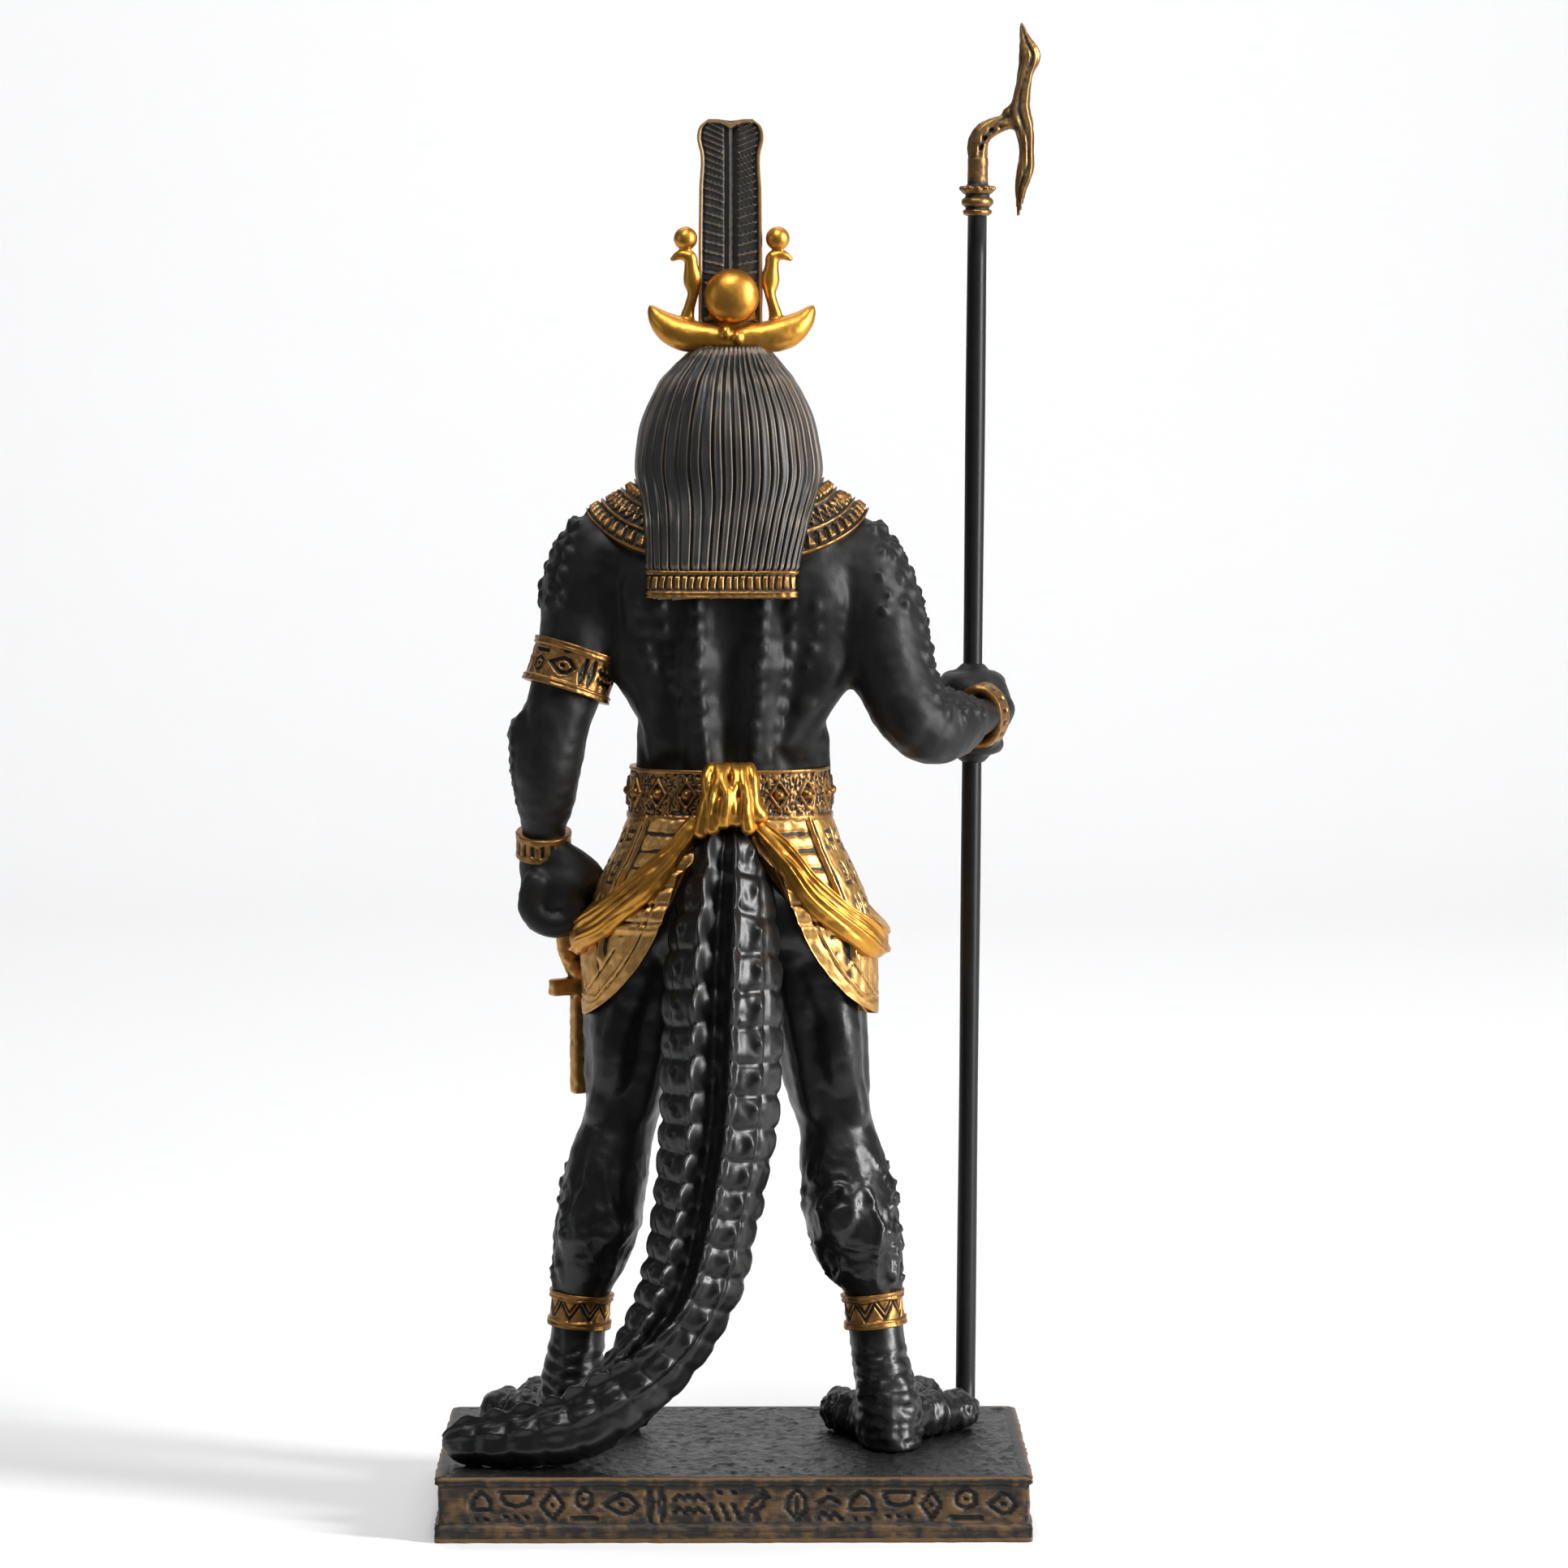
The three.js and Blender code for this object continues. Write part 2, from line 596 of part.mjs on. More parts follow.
function figure() {
  const parts = [
    trunk(), ...backKnobs(),
    limb(banded(LEFT_LEG, ...ANKLET, 0.9), 8), limb(banded(RIGHT_LEG, ...ANKLET, 0.9), 8),
    ...foot([32.6, 2], [[48.2, -13.4], [41, -26.4], [21, -12]]),
    ...foot([-31, 3], [[-46.4, -12.6], [-38.8, -27], [-21.4, -12.4]]),
    limb(banded(banded(LEFT_ARM, ...BRACELET, 0.9), ...ARMLET, 0.9), 8),
    limb(banded(RIGHT_ARM, ...WRISTLET, 0.8), 8), ...leftHand(), ...rightHand(),
    kilt(), ...pleats(), ...belt(), swag(-1), swag(1), knot(), ...apron(),
    tail(), ...wig(), collar(), ...head(), ...ankh(),
  ];
  // Cut level under the soles, so that the figure stands flat
  const floor = toSolid(new THREE.BoxGeometry(300, 300, 40).translate(0, 0, -20));
  return join(parts).subtract(floor).scale([SHARE, SHARE, SHARE]);
}

// The sceptre's line, in the whole object's frame
const soleHeight = PLINTH_HEIGHT + CLEARANCE;
const grip = vector(GRIP.x * SHARE, GRIP.y * SHARE, soleHeight + GRIP.z * SHARE);
const shaftFoot = vector(SHAFT_FOOT.x * SHARE, SHAFT_FOOT.y * SHARE, soleHeight);
const shaftLine = grip.clone().sub(shaftFoot).normalize();
const shaftTop = shaftFoot.clone().addScaledVector(shaftLine, SHAFT_LENGTH);

// A rod along the sceptre's line between two distances from its foot
function rod(radius, from, to, sides) {
  const turn = new THREE.Quaternion().setFromUnitVectors(vector(0, 1, 0), shaftLine);
  const middle = shaftFoot.clone().addScaledVector(shaftLine, (from + to) / 2);
  const body = new THREE.CylinderGeometry(radius, radius, to - from, sides);
  return toSolid(body.applyQuaternion(turn).translate(middle.x, middle.y, middle.z));
}

// Crown: horns over a flared base, a sun disc before two plumes, a cobra on each side

const crownBase = soleHeight + FIGURE_HEIGHT + CLEARANCE;
const c = CROWN_HEIGHT / 45.7;

// Half width of the plume pair up its height: straight sides, a waist and a round lobe on each half
const PLUME_SIDE = [[0, 0.97], [0.45, 0.97], [0.78, 0.8], [0.85, 0.94], [0.91, 1], [0.96, 0.9], [1, 0.6]];
const PLUME_RIM = 1;

// Each ring follows a barb: it climbs from the rib to the rim, and stands or sinks between them
function plumes() {
  const half = PLUME_WIDTH / 2;
  const face = PLUME_THICKNESS / 2;
  const ring = (low, climb, lift, deep) => {
    const side = [0.1, 0.1, 0.5, 1, 1].map((share, i) => {
      const z = low + climb * share + lift[i];
      const wide = half * rowAt(PLUME_SIDE, z / CROWN_HEIGHT)[1];
      const x = i === 4 ? wide : Math.max(share * (wide - PLUME_RIM), 0.6 * c);
      return [x, i === 0 || i === 4 ? face : deep, z];
    });
    const right = side.map(([x, y, z]) => vector(x, y, z));
    const left = [...side].reverse().map(([x, y, z]) => vector(-x, y, z));
    const front = [...left, ...right];
    return [...front, ...[...front].reverse().map((point) => vector(point.x, -point.y, point.z))];
  };
  const flat = [0, 0, 0, 0, 0];
  const rings = Array.from({ length: 2 * BARBS + 1 }, (_, i) => {
    const f = i / (2 * BARBS);
    const low = (0.04 + 0.86 * f) * CROWN_HEIGHT;
    return ring(low, (0.01 + 0.03 * f) * CROWN_HEIGHT, flat, face * (i % 2 ? 0.88 : 0.68));
  });
  const lobes = [[0.92, [0, 0, 2, 1, 0]], [0.965, [0, 0, 1.6, 0.4, -0.8]]];
  rings.push(...lobes.map(([f, lift]) => ring(f * CROWN_HEIGHT, 0, lift.map((z) => z * c), face)));
  return skin(rings);
}

function horn(side) {
  return limb([
    [0, 1, 3, 2.6, 2.6], [side * 5, 1.4, 2.9, 2.6, 2.8], [side * 9.6, 1.4, 3, 2.7, 2.8],
    [side * 13, 1, 4.3, 2.6, 2.4], [side * 15.4, 0.6, 6.8, 1.6, 1.6], [side * 16.2, 0.4, 8.6, 0.5, 0.5],
  ].map((row) => row.map((value) => value * c)), 7);
}

function cobra(side) {
  const body = limb([
    [side * 8.4, 1, 4, 1.4, 1.2], [side * 8.6, 1, 8.4, 1.3, 1.2], [side * 7.4, 1, 12, 1.2, 1.2],
    [side * 7.8, 1, 15, 1.6, 1.2], [side * 8.6, 1, 18, 1.2, 1.1],
  ].map((row) => row.map((value) => value * c)), 6);
  const face = limb([
    [side * 8, 1, 17.4, 1.2, 1.2], [side * 10, 1, 18.2, 1.2, 1.1], [side * 11.8, 1, 17, 0.6, 0.7],
  ].map((row) => row.map((value) => value * c)), 5);
  return [body, face, ball(side * 9.2 * c, c, 21.2 * c, [2.4 * c, 2.4 * c, 2.4 * c], 8)];
}

function crown() {
  const flare = [[0, 0], [8.6, 0], [9.6, 0.8], [7, 2.4], [4, 5], [0, 6]];
  const base = new THREE.LatheGeometry(flare.map(([r, z]) => new THREE.Vector2(r * c, z * c)), 16);
  const disc = ball(0, 3 * c, 10 * c, [5.4 * c, 4 * c, 5.4 * c], 12);
  // A plain web fills the space between the plumes and the cobras
  const web = placed(new THREE.BoxGeometry(17 * c, 1.4 * c, 14 * c), 0, 0.8 * c, 9 * c);
  const parts = [
    toSolid(base.rotateX(TAU / 4)), disc, horn(-1), horn(1), plumes(), web, ...cobra(-1), ...cobra(1)];
  return join(parts).translate([0, 1.2 * SHARE, crownBase]);
}

// Sceptre head: ringed socket, bent neck and a blade pointed at both ends

function sceptreHead() {
  const s = SCEPTRE_HEIGHT / 32;
  const r = SHAFT_DIAMETER / 2;
  const rings = [
    [0, 0], [r + 1.2, 0], [r + 1.2, 0.26], [r + 0.6, 0.32], [r + 1.2, 0.38], [r + 1.2, 0.62],
    [r + 0.6, 0.68], [r + 1.2, 0.74], [r + 1.2, 1], [0, 1]];
  const socket = new THREE.LatheGeometry(rings.map(([x, f]) => new THREE.Vector2(x, f * FERRULE_HEIGHT)), 10);
  const neck = limb([
    [-0.1, 0, -1, 2.1, 2.1], [-0.1, 0, 4.4, 2, 2], [-0.4, 0, 8, 1.9, 1.9], [-2.4, 0, 9.8, 1.7, 1.8],
    [-4.6, 0, 10.9, 1.9, 1.8], [-6.8, 0, 11.8, 1.9, 1.8], [-8.8, 0, 12.4, 1.6, 1.6],
  ].map((row) => row.map((value) => value * s)), 7);
  const blade = limb([
    [-8.2, 0, -7.9, 0.3, 0.4], [-8.7, 0, -4.6, 1.1, 1], [-8.9, 0, -1, 1.6, 1.4], [-9.1, 0, 0.6, 1.9, 1.6],
    [-9.6, 0, 2.8, 1.6, 1.6], [-9, 0, 8, 1.9, 1.7], [-8.6, 0, 12, 2, 1.8], [-8.8, 0, 15.6, 1.7, 1.7],
    [-9.6, 0, 19.3, 1.6, 1.6], [-10.4, 0, 24.6, 2.2, 1.6], [-9.5, 0, 28.8, 1.3, 1], [-8.6, 0, 31.4, 0.3, 0.3],
  ].map((row) => row.map((value) => value * s)), 7);
  const upper = join([neck, blade]).translate([0, 0, FERRULE_HEIGHT]);
  const whole = toSolid(socket.rotateX(TAU / 4)).add(upper);
  const lean = new THREE.Euler().setFromQuaternion(
    new THREE.Quaternion().setFromUnitVectors(vector(0, 0, 1), shaftLine));
  const turn = [lean.x, lean.y, lean.z].map(THREE.MathUtils.radToDeg);
  const seat = shaftTop.clone().addScaledVector(shaftLine, CLEARANCE);
  return whole.rotate(turn).translate([seat.x, seat.y, seat.z]);
}

// Plinth: a cap and a foot, with an inscribed band sunk between them

function slab(length, depth, from, to) {
  return toSolid(new THREE.BoxGeometry(length, depth, to - from).translate(0, 0, (from + to) / 2));
}

// One face's row of cut marks, laid along X at the band's face and then turned to its side
function markRow(length, reach, turn) {
  const low = PLINTH_FOOT;
  const high = PLINTH_HEIGHT - PLINTH_CAP;
  const middle = (low + high) / 2;
  const tall = 0.6 * (high - low);
  const pitch = MARK_PITCH;
  const count = Math.floor((length - pitch) / pitch);
  const marks = [];
  for (let i = 0; i < count; i += 1) {
    const x = (i - (count - 1) / 2) * pitch;
    const kind = i % 4;
    const long = kind === 2 ? 0.5 * tall : tall;
    const lean = [0, TAU / 4, 0.5, -0.25][kind];
    const mark = new THREE.BoxGeometry(STROKE_WIDTH, 2 * STROKE_DEPTH, long);
    mark.rotateY(lean).translate(x, reach, middle + (kind === 1 ? 0.25 * tall : 0));
    marks.push(toSolid(mark.rotateZ(turn)));
  }
  return marks;
}

function plinth() {
  const bandLength = PLINTH_LENGTH - 2 * PLINTH_RECESS;
  const bandDepth = PLINTH_DEPTH - 2 * PLINTH_RECESS;
  const body = join([
    slab(PLINTH_LENGTH, PLINTH_DEPTH, 0, PLINTH_FOOT),
    slab(bandLength, bandDepth, 0, PLINTH_HEIGHT),
    slab(PLINTH_LENGTH, PLINTH_DEPTH, PLINTH_HEIGHT - PLINTH_CAP, PLINTH_HEIGHT),
  ]);
  const marks = [
    ...markRow(bandLength, bandDepth / 2, 0), ...markRow(bandLength, bandDepth / 2, TAU / 2),
    ...markRow(bandDepth, bandLength / 2, TAU / 4), ...markRow(bandDepth, bandLength / 2, -TAU / 4)];
  return body.subtract(join(marks));
}

function named(name, solid, material) {
  const mesh = new THREE.Mesh(toGeometry(solid), material);
  mesh.name = name;
  return mesh;
}

const statuette = new THREE.Group();
const gripHole = rod(SHAFT_DIAMETER / 2 + CLEARANCE, -CLEARANCE, SHAFT_LENGTH, 12);
statuette.add(named('figure', figure().translate([0, 0, soleHeight]).subtract(gripHole), black));
statuette.add(named('crown', crown(), gold));
statuette.add(named('plinth', plinth(), bronzed));
statuette.add(named('staff_shaft', rod(SHAFT_DIAMETER / 2, 0, SHAFT_LENGTH, 12), black));
statuette.add(named('staff_head', sceptreHead(), oldGold));

export default statuette;
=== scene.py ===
import bpy
import numpy as np
import openvdb
from mathutils import Euler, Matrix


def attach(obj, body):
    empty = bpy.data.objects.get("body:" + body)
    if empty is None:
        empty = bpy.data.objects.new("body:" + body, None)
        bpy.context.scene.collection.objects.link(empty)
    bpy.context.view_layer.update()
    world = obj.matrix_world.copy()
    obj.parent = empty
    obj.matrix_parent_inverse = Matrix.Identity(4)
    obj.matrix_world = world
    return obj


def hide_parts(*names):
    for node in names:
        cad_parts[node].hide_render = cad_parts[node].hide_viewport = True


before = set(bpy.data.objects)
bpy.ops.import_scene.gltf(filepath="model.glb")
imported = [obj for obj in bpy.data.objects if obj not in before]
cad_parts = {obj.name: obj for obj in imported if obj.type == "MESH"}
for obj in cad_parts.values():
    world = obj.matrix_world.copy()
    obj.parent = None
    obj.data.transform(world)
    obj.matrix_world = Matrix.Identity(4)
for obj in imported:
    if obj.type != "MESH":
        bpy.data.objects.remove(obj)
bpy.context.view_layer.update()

# A cast-resin statuette on a plinth. Lengths are in mm until a mesh is made. The figure's heights
# start at its soles, and it faces -Y with its left hand on the +X side.

MM = 0.001
TAU = 2 * np.pi
# How high the soles stand above the table
SOLE = 13.3
# How far from a skin the clay's distances are kept
FAR = 6.0
# Chance values at the corners of a block of cells, for the noise
CELLS = 32
LATTICE = np.random.RandomState(11).rand(CELLS, CELLS, CELLS)


# Sums used all over

def ease(start, end, x):
    """0 before the start, 1 after the end, and smooth between them"""
    t = np.clip((x - start) / (end - start), 0, 1)
    return t * t * (3 - 2 * t)


def hill(x, width):
    """A round hill of height 1 at 0"""
    return np.exp(-(x / width) ** 2)


def at(rows, stations):
    """Rows of numbers read at fractional stations, on a smooth curve through them"""
    rows = np.asarray(rows, float)
    stations = np.clip(np.asarray(stations, float), 0, len(rows) - 1)
    k = np.minimum(stations.astype(int), len(rows) - 2)
    t = (stations - k)[..., None]
    longer = np.vstack([2 * rows[0] - rows[1], rows, 2 * rows[-1] - rows[-2]])
    a, b, c, d = (longer[k + i] for i in range(4))
    return b + 0.5 * t * (c - a + t * (2 * a - 5 * b + 4 * c - d + t * (3 * (b - c) + d - a)))


def fair(rows, times):
    """The rows with more between them"""
    return at(rows, np.linspace(0, len(rows) - 1, (len(rows) - 1) * times + 1))


def keyed(rows, key):
    """The rows read where their first column has the given values"""
    fine = fair(rows, 12)
    fine = fine[np.argsort(fine[:, 0])]
    return [np.interp(key, fine[:, 0], fine[:, k]) for k in range(1, fine.shape[1])]


def noise(points, size, seed=0):
    """Smooth chance values from -1 to 1 that change over about a size in mm"""
    p = np.asarray(points) / size + 5.37 * seed
    k = np.floor(p).astype(int)
    f = p - k
    f = f * f * (3 - 2 * f)
    total = 0
    for corner in np.ndindex(2, 2, 2):
        share = np.prod(np.where(corner, f, 1 - f), axis=-1)
        i, j, m = np.moveaxis((k + corner) % CELLS, -1, 0)
        total = total + share * LATTICE[i, j, m]
    return 2 * total - 1


def turned(angle):
    """Cosine and sine of degrees"""
    return np.cos(np.radians(angle)), np.sin(np.radians(angle))


def soft(value, power):
    """A power that keeps the sign: under 1 it makes a circle squarer"""
    return np.sign(value) * np.abs(value) ** power


# Clay: solid forms worked on a grid of cells and then skinned

def melt(a, b, blend):
    """The nearer of two distances, run together where they are about the same"""
    if not blend:
        return np.minimum(a, b)
    near = np.maximum(blend - np.abs(a - b), 0) / blend
    return np.minimum(a, b) - near * near * blend / 4


class Clay:
    """Modelling clay: each cell of a grid holds its distance from the skin"""

    def __init__(self, low, high, step):
        self.step = step
        self.low = np.array(low, float)
        size = np.rint((np.array(high, float) - self.low) / step).astype(int) + 1
        self.cells = np.full(size, FAR, np.float32)

    def part(self, low, high):
        """The cells between two corners, and their first corner's place"""
        first = np.clip(np.floor((low - self.low) / self.step).astype(int), 0, None)
        last = np.minimum(np.ceil((high - self.low) / self.step).astype(int) + 1, self.cells.shape)
        return first, np.maximum(last, first)

    def put(self, shape, blend=0.0, take=False):
        """Adds a shape, or takes it away"""
        low, high, distance = shape
        first, last = self.part(low - blend - 2, high + blend + 2)
        if np.any(last <= first):
            return
        spans = [self.low[k] + self.step * np.arange(first[k], last[k]) for k in range(3)]
        spans = [span.astype(np.float32) for span in spans]
        away = distance(*np.meshgrid(*spans, indexing="ij", sparse=True))
        cut = tuple(slice(a, b) for a, b in zip(first, last))
        old = self.cells[cut]
        self.cells[cut] = -melt(-old, away, blend) if take else melt(old, away, blend)

    def limb(self, rows, towards=(0, 1, 0), blend=0.0, times=3):
        """Adds a limb through stations: x, y, z, half size across and half size towards a side"""
        rows = fair(rows, times)
        reach = rows[:, 3:].max() + blend + 2
        first, last = self.part(rows[:, :3].min(0) - reach, rows[:, :3].max(0) + reach)
        own = Clay(self.low + self.step * first, self.low + self.step * (last - 1), self.step)
        for before, after in zip(rows[:-1], rows[1:]):
            own.put(link(before, after, np.array(towards, float)))
        cut = tuple(slice(a, b) for a, b in zip(first, last))
        self.cells[cut] = melt(self.cells[cut], own.cells, blend)

    def read(self, points):
        """The distances at points"""
        q = (points - self.low) / self.step
        k = np.clip(np.floor(q).astype(int), 0, np.array(self.cells.shape) - 2)
        f = np.clip(q - k, 0, 1)
        total = 0
        for corner in np.ndindex(2, 2, 2):
            share = np.prod(np.where(corner, f, 1 - f), axis=-1)
            total = total + share * self.cells[tuple((k + corner).T)]
        return total

    def land(self, starts, heading):
        """Where straight lines from the starts first meet the clay"""
        points = np.array(starts, float)
        heading = np.broadcast_to(np.array(heading, float), points.shape)
        heading = heading / np.linalg.norm(heading, axis=1, keepdims=True)
        for _ in range(90):
            points = points + heading * np.clip(0.7 * self.read(points), 0, 0.5)[:, None]
        return points

    def skin(self):
        """Points and faces of the skin"""
        cells = np.clip(self.cells, -FAR / 2, FAR / 2)
        for k in range(3):
            for end in (0, -1):
                edge = [slice(None)] * 3
                edge[k] = end
                cells[tuple(edge)] = np.maximum(cells[tuple(edge)], 0.3 * self.step)
        grid = openvdb.FloatGrid(FAR / 2)
        grid.copyFromArray(cells)
        points, _, quads = grid.convertToPolygons(isovalue=0.0, adaptivity=0.0)
        return points * self.step + self.low, [quads.astype(int)]


# Each shape is the box that holds it, given by two corners, and a function for the distance from its skin

def link(p, q, towards):
    """A tapered link between two stations of a limb"""
    axis = q[:3] - p[:3]
    length = np.linalg.norm(axis)
    along = axis / length
    front = towards - towards @ along * along
    front /= np.linalg.norm(front)
    side = np.cross(front, along)
    reach = max(p[3:].max(), q[3:].max())

    def away(x, y, z):
        gap = [x - p[0], y - p[1], z - p[2]]
        t = np.clip(sum(g * a for g, a in zip(gap, along)) / length, 0, 1)
        wide = p[3] + t * (q[3] - p[3])
        deep = p[4] + t * (q[4] - p[4])
        gap = [g - t * a for g, a in zip(gap, axis)]
        sizes = [(side, wide), (front, deep), (along, np.minimum(wide, deep))]
        near = [(sum(g * a for g, a in zip(gap, line)) / size, size) for line, size in sizes]
        k0 = np.sqrt(sum(u * u for u, _ in near))
        k1 = np.sqrt(sum((u / size) ** 2 for u, size in near))
        return (k0 - 1) * (k0 + 1e-4) / (k1 + 1e-4 / reach)

    return np.minimum(p[:3], q[:3]) - reach, np.maximum(p[:3], q[:3]) + reach, away


def bone(start, end, size, far_size=None):
    """A round bar that may taper"""
    far_size = far_size or size
    line = np.subtract(end, start)
    lies_along_y = abs(line[1]) >= 0.9 * np.linalg.norm(line)
    near, far = np.array([*start, size, size], float), np.array([*end, far_size, far_size], float)
    return link(near, far, np.array((1, 0.2, 0.3) if lies_along_y else (0.3, 1, 0.2)))


def ball(centre, sizes):
    """A ball, or an egg with three half sizes"""
    centre, sizes = np.array(centre, float), np.broadcast_to(np.array(sizes, float), 3)

    def away(x, y, z):
        near = [(p - c) / r for p, c, r in zip((x, y, z), centre, sizes)]
        k0 = np.sqrt(sum(u * u for u in near))
        k1 = np.sqrt(sum((u / r) ** 2 for u, r in zip(near, sizes)))
        return (k0 - 1) * (k0 + 1e-4) / (k1 + 1e-4 / sizes.max())

    return centre - sizes, centre + sizes, away


def block(centre, sizes, rounding=0.45):
    """A block with rounded edges, given by its half sizes"""
    centre, sizes = np.array(centre, float), np.array(sizes, float)

    def away(x, y, z):
        gaps = [np.abs(p - c) - r + rounding for p, c, r in zip((x, y, z), centre, sizes)]
        out = np.sqrt(sum(np.maximum(g, 0) ** 2 for g in gaps))
        return out + np.minimum(np.maximum(np.maximum(gaps[0], gaps[1]), gaps[2]), 0) - rounding

    return centre - sizes, centre + sizes, away


def lathe(rows):
    """A turned body, given by heights and radii"""
    rows = np.array(rows, float)
    reach = rows[:, 1].max()

    def away(x, y, z):
        side = np.hypot(x, y) - np.interp(z, rows[:, 0], rows[:, 1])
        return np.maximum(0.8 * side, np.maximum(rows[0, 0] - z, z - rows[-1, 0]))

    return np.array([-reach, -reach, rows[0, 0]]), np.array([reach, reach, rows[-1, 0]]), away


def stack(rows, low, high):
    """A body given by its level outlines: height, middle, half width, front and back"""
    power = 2.35
    fine = fair(rows, 8)
    fine = fine[np.argsort(fine[:, 0])]
    reach = np.abs(fine[:, 1:]).max() + 2

    def away(x, y, z):
        level = [np.interp(z, fine[:, 0], fine[:, k]) for k in (1, 2, 3, 4)]
        middle, half, front, back = (sizes.astype(np.float32) for sizes in level)
        deep = np.where(y > 0, back, -front)
        u, v = np.abs(x - middle) / half, np.abs(y) / deep
        k0 = np.maximum((u ** power + v ** power) ** (1 / power), 0.05)
        slope = k0 ** (1 - power) * np.hypot(u ** (power - 1) / half, v ** (power - 1) / deep)
        side = np.clip((k0 - 1) / (slope + 1e-3), -FAR, FAR)
        return np.maximum(side, np.maximum(low - z, z - high))

    return np.array([-reach, -reach, low]), np.array([reach, reach, high]), away


# Nets: skins laid over rows of points

def net(columns, rows, ring_columns=False, ring_rows=False):
    """The faces of a grid of points that are numbered column by column"""
    i = np.arange(columns if ring_columns else columns - 1)[:, None]
    j = np.arange(rows if ring_rows else rows - 1)[None, :]
    i2, j2 = (i + 1) % columns, (j + 1) % rows
    corners = [i * rows + j, i2 * rows + j, i2 * rows + j2, i * rows + j2]
    return np.stack(np.broadcast_arrays(*corners), -1).reshape(-1, 4)


def capped(grid):
    """A skin over rings of points, each end closed by a fan"""
    columns, rows = grid.shape[:2]
    points = grid.reshape(-1, 3)
    fans = []
    for column in (0, columns - 1):
        a = column * rows + np.arange(rows)
        b = column * rows + (np.arange(rows) + 1) % rows
        middle = np.full(rows, len(points))
        fans.append(np.stack([middle, b, a] if column == 0 else [middle, a, b], -1))
        points = np.vstack([points, grid[column].mean(0)])
    return points, [net(columns, rows, ring_rows=True), *fans]


def hooped(grid):
    """A skin over rings of points that run round to the first again"""
    columns, rows = grid.shape[:2]
    return grid.reshape(-1, 3), [net(columns, rows, True, True)]


def outwards(points, faces):
    """The faces, turned round if they look inwards"""
    volume = 0
    for group in faces:
        a, b, c = (points[group[:, k]] for k in (0, 1, 2))
        volume += np.einsum("ij,ij->i", a, np.cross(b, c)).sum()
        if group.shape[1] == 4:
            d = points[group[:, 3]]
            volume += np.einsum("ij,ij->i", a, np.cross(c, d)).sum()
    return [group[:, ::-1] if volume < 0 else group for group in faces]


def normals(points, faces):
    """The way that the skin looks at each point"""
    total = np.zeros_like(points)
    for group in faces:
        a, b, c = (points[group[:, k]] for k in (0, 1, 2))
        square = np.cross(b - a, c - a)
        if group.shape[1] == 4:
            d = points[group[:, 3]]
            square = np.cross(c - a, d - b)
        for k in range(group.shape[1]):
            for axis in range(3):
                total[:, axis] += np.bincount(group[:, k], square[:, axis], len(points))
    return total / np.maximum(np.linalg.norm(total, axis=1, keepdims=True), 1e-9)


def levelled(points, faces, rounds):
    """The points drawn towards their neighbours, round after round"""
    first = np.concatenate([group.T.ravel() for group in faces])
    second = np.concatenate([np.roll(group, -1, axis=1).T.ravel() for group in faces])
    a, b = np.concatenate([first, second]), np.concatenate([second, first])
    count = np.maximum(np.bincount(a, minlength=len(points)), 1)
    for _ in range(rounds):
        points = np.stack([np.bincount(a, points[b, k], len(points)) / count for k in range(3)], -1)
    return points


def carved(points, faces, heights):
    """The skin moved out along its normals"""
    return points + normals(points, faces) * np.asarray(heights)[:, None]


def with_ends(heights):
    """Heights of a grid's points, and 0 for the middles of its two end caps"""
    return np.concatenate([heights.ravel(), [0, 0]])


def carved_tube(grid, heights):
    """A carved skin over rings of points, closed at both ends"""
    points, faces = capped(grid)
    return carved(points, outwards(points, faces), with_ends(heights)), faces


def set_down(name, skin, finish, nodes=("figure",), rise=SOLE, rounds=6, proud=0):
    """Makes a piece of the statuette. Its mesh keeps how far each point stands proud, for the paint."""
    points, faces = skin
    faces = outwards(points, faces)
    relief = np.einsum("ij,ij->i", points - levelled(points, faces, rounds), normals(points, faces)) + proud
    mesh = bpy.data.meshes.new(name)
    corners = np.concatenate([g.ravel() for g in faces])
    sizes = np.concatenate([np.full(len(g), g.shape[1]) for g in faces])
    mesh.vertices.add(len(points))
    mesh.vertices.foreach_set("co", ((points + [0, 0, rise]) * MM).astype(np.float32).ravel())
    mesh.loops.add(len(corners))
    mesh.loops.foreach_set("vertex_index", corners.astype(np.int32))
    mesh.polygons.add(len(sizes))
    mesh.polygons.foreach_set("loop_start", np.concatenate([[0], np.cumsum(sizes)[:-1]]).astype(np.int32))
    mesh.update(calc_edges=True)
    mesh.shade_smooth()
    mesh.attributes.new("relief", "FLOAT", "POINT").data.foreach_set("value", relief.astype(np.float32))
    mesh.materials.append(finish)
    piece = bpy.data.objects.new(name, mesh)
    bpy.context.collection.objects.link(piece)
    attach(piece, "root")
    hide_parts(*nodes)


# Drawing on a flat patch: s runs along it and t across it, in mm

def stroke(s, t, start, end, wide):
    """1 on a straight stroke and 0 off it, with a sloping edge"""
    slope = 0.14
    (x0, y0), (x1, y1) = start, end
    dx, dy = x1 - x0, y1 - y0
    k = np.clip(((s - x0) * dx + (t - y0) * dy) / (dx * dx + dy * dy + 1e-9), 0, 1)
    gap = np.hypot(s - x0 - k * dx, t - y0 - k * dy)
    return 1 - ease(wide / 2 - slope, wide / 2 + slope, gap)


def drawn(s, t, path, wide):
    """A stroke through several points"""
    return np.maximum.reduce([stroke(s, t, a, b, wide) for a, b in zip(path[:-1], path[1:])])


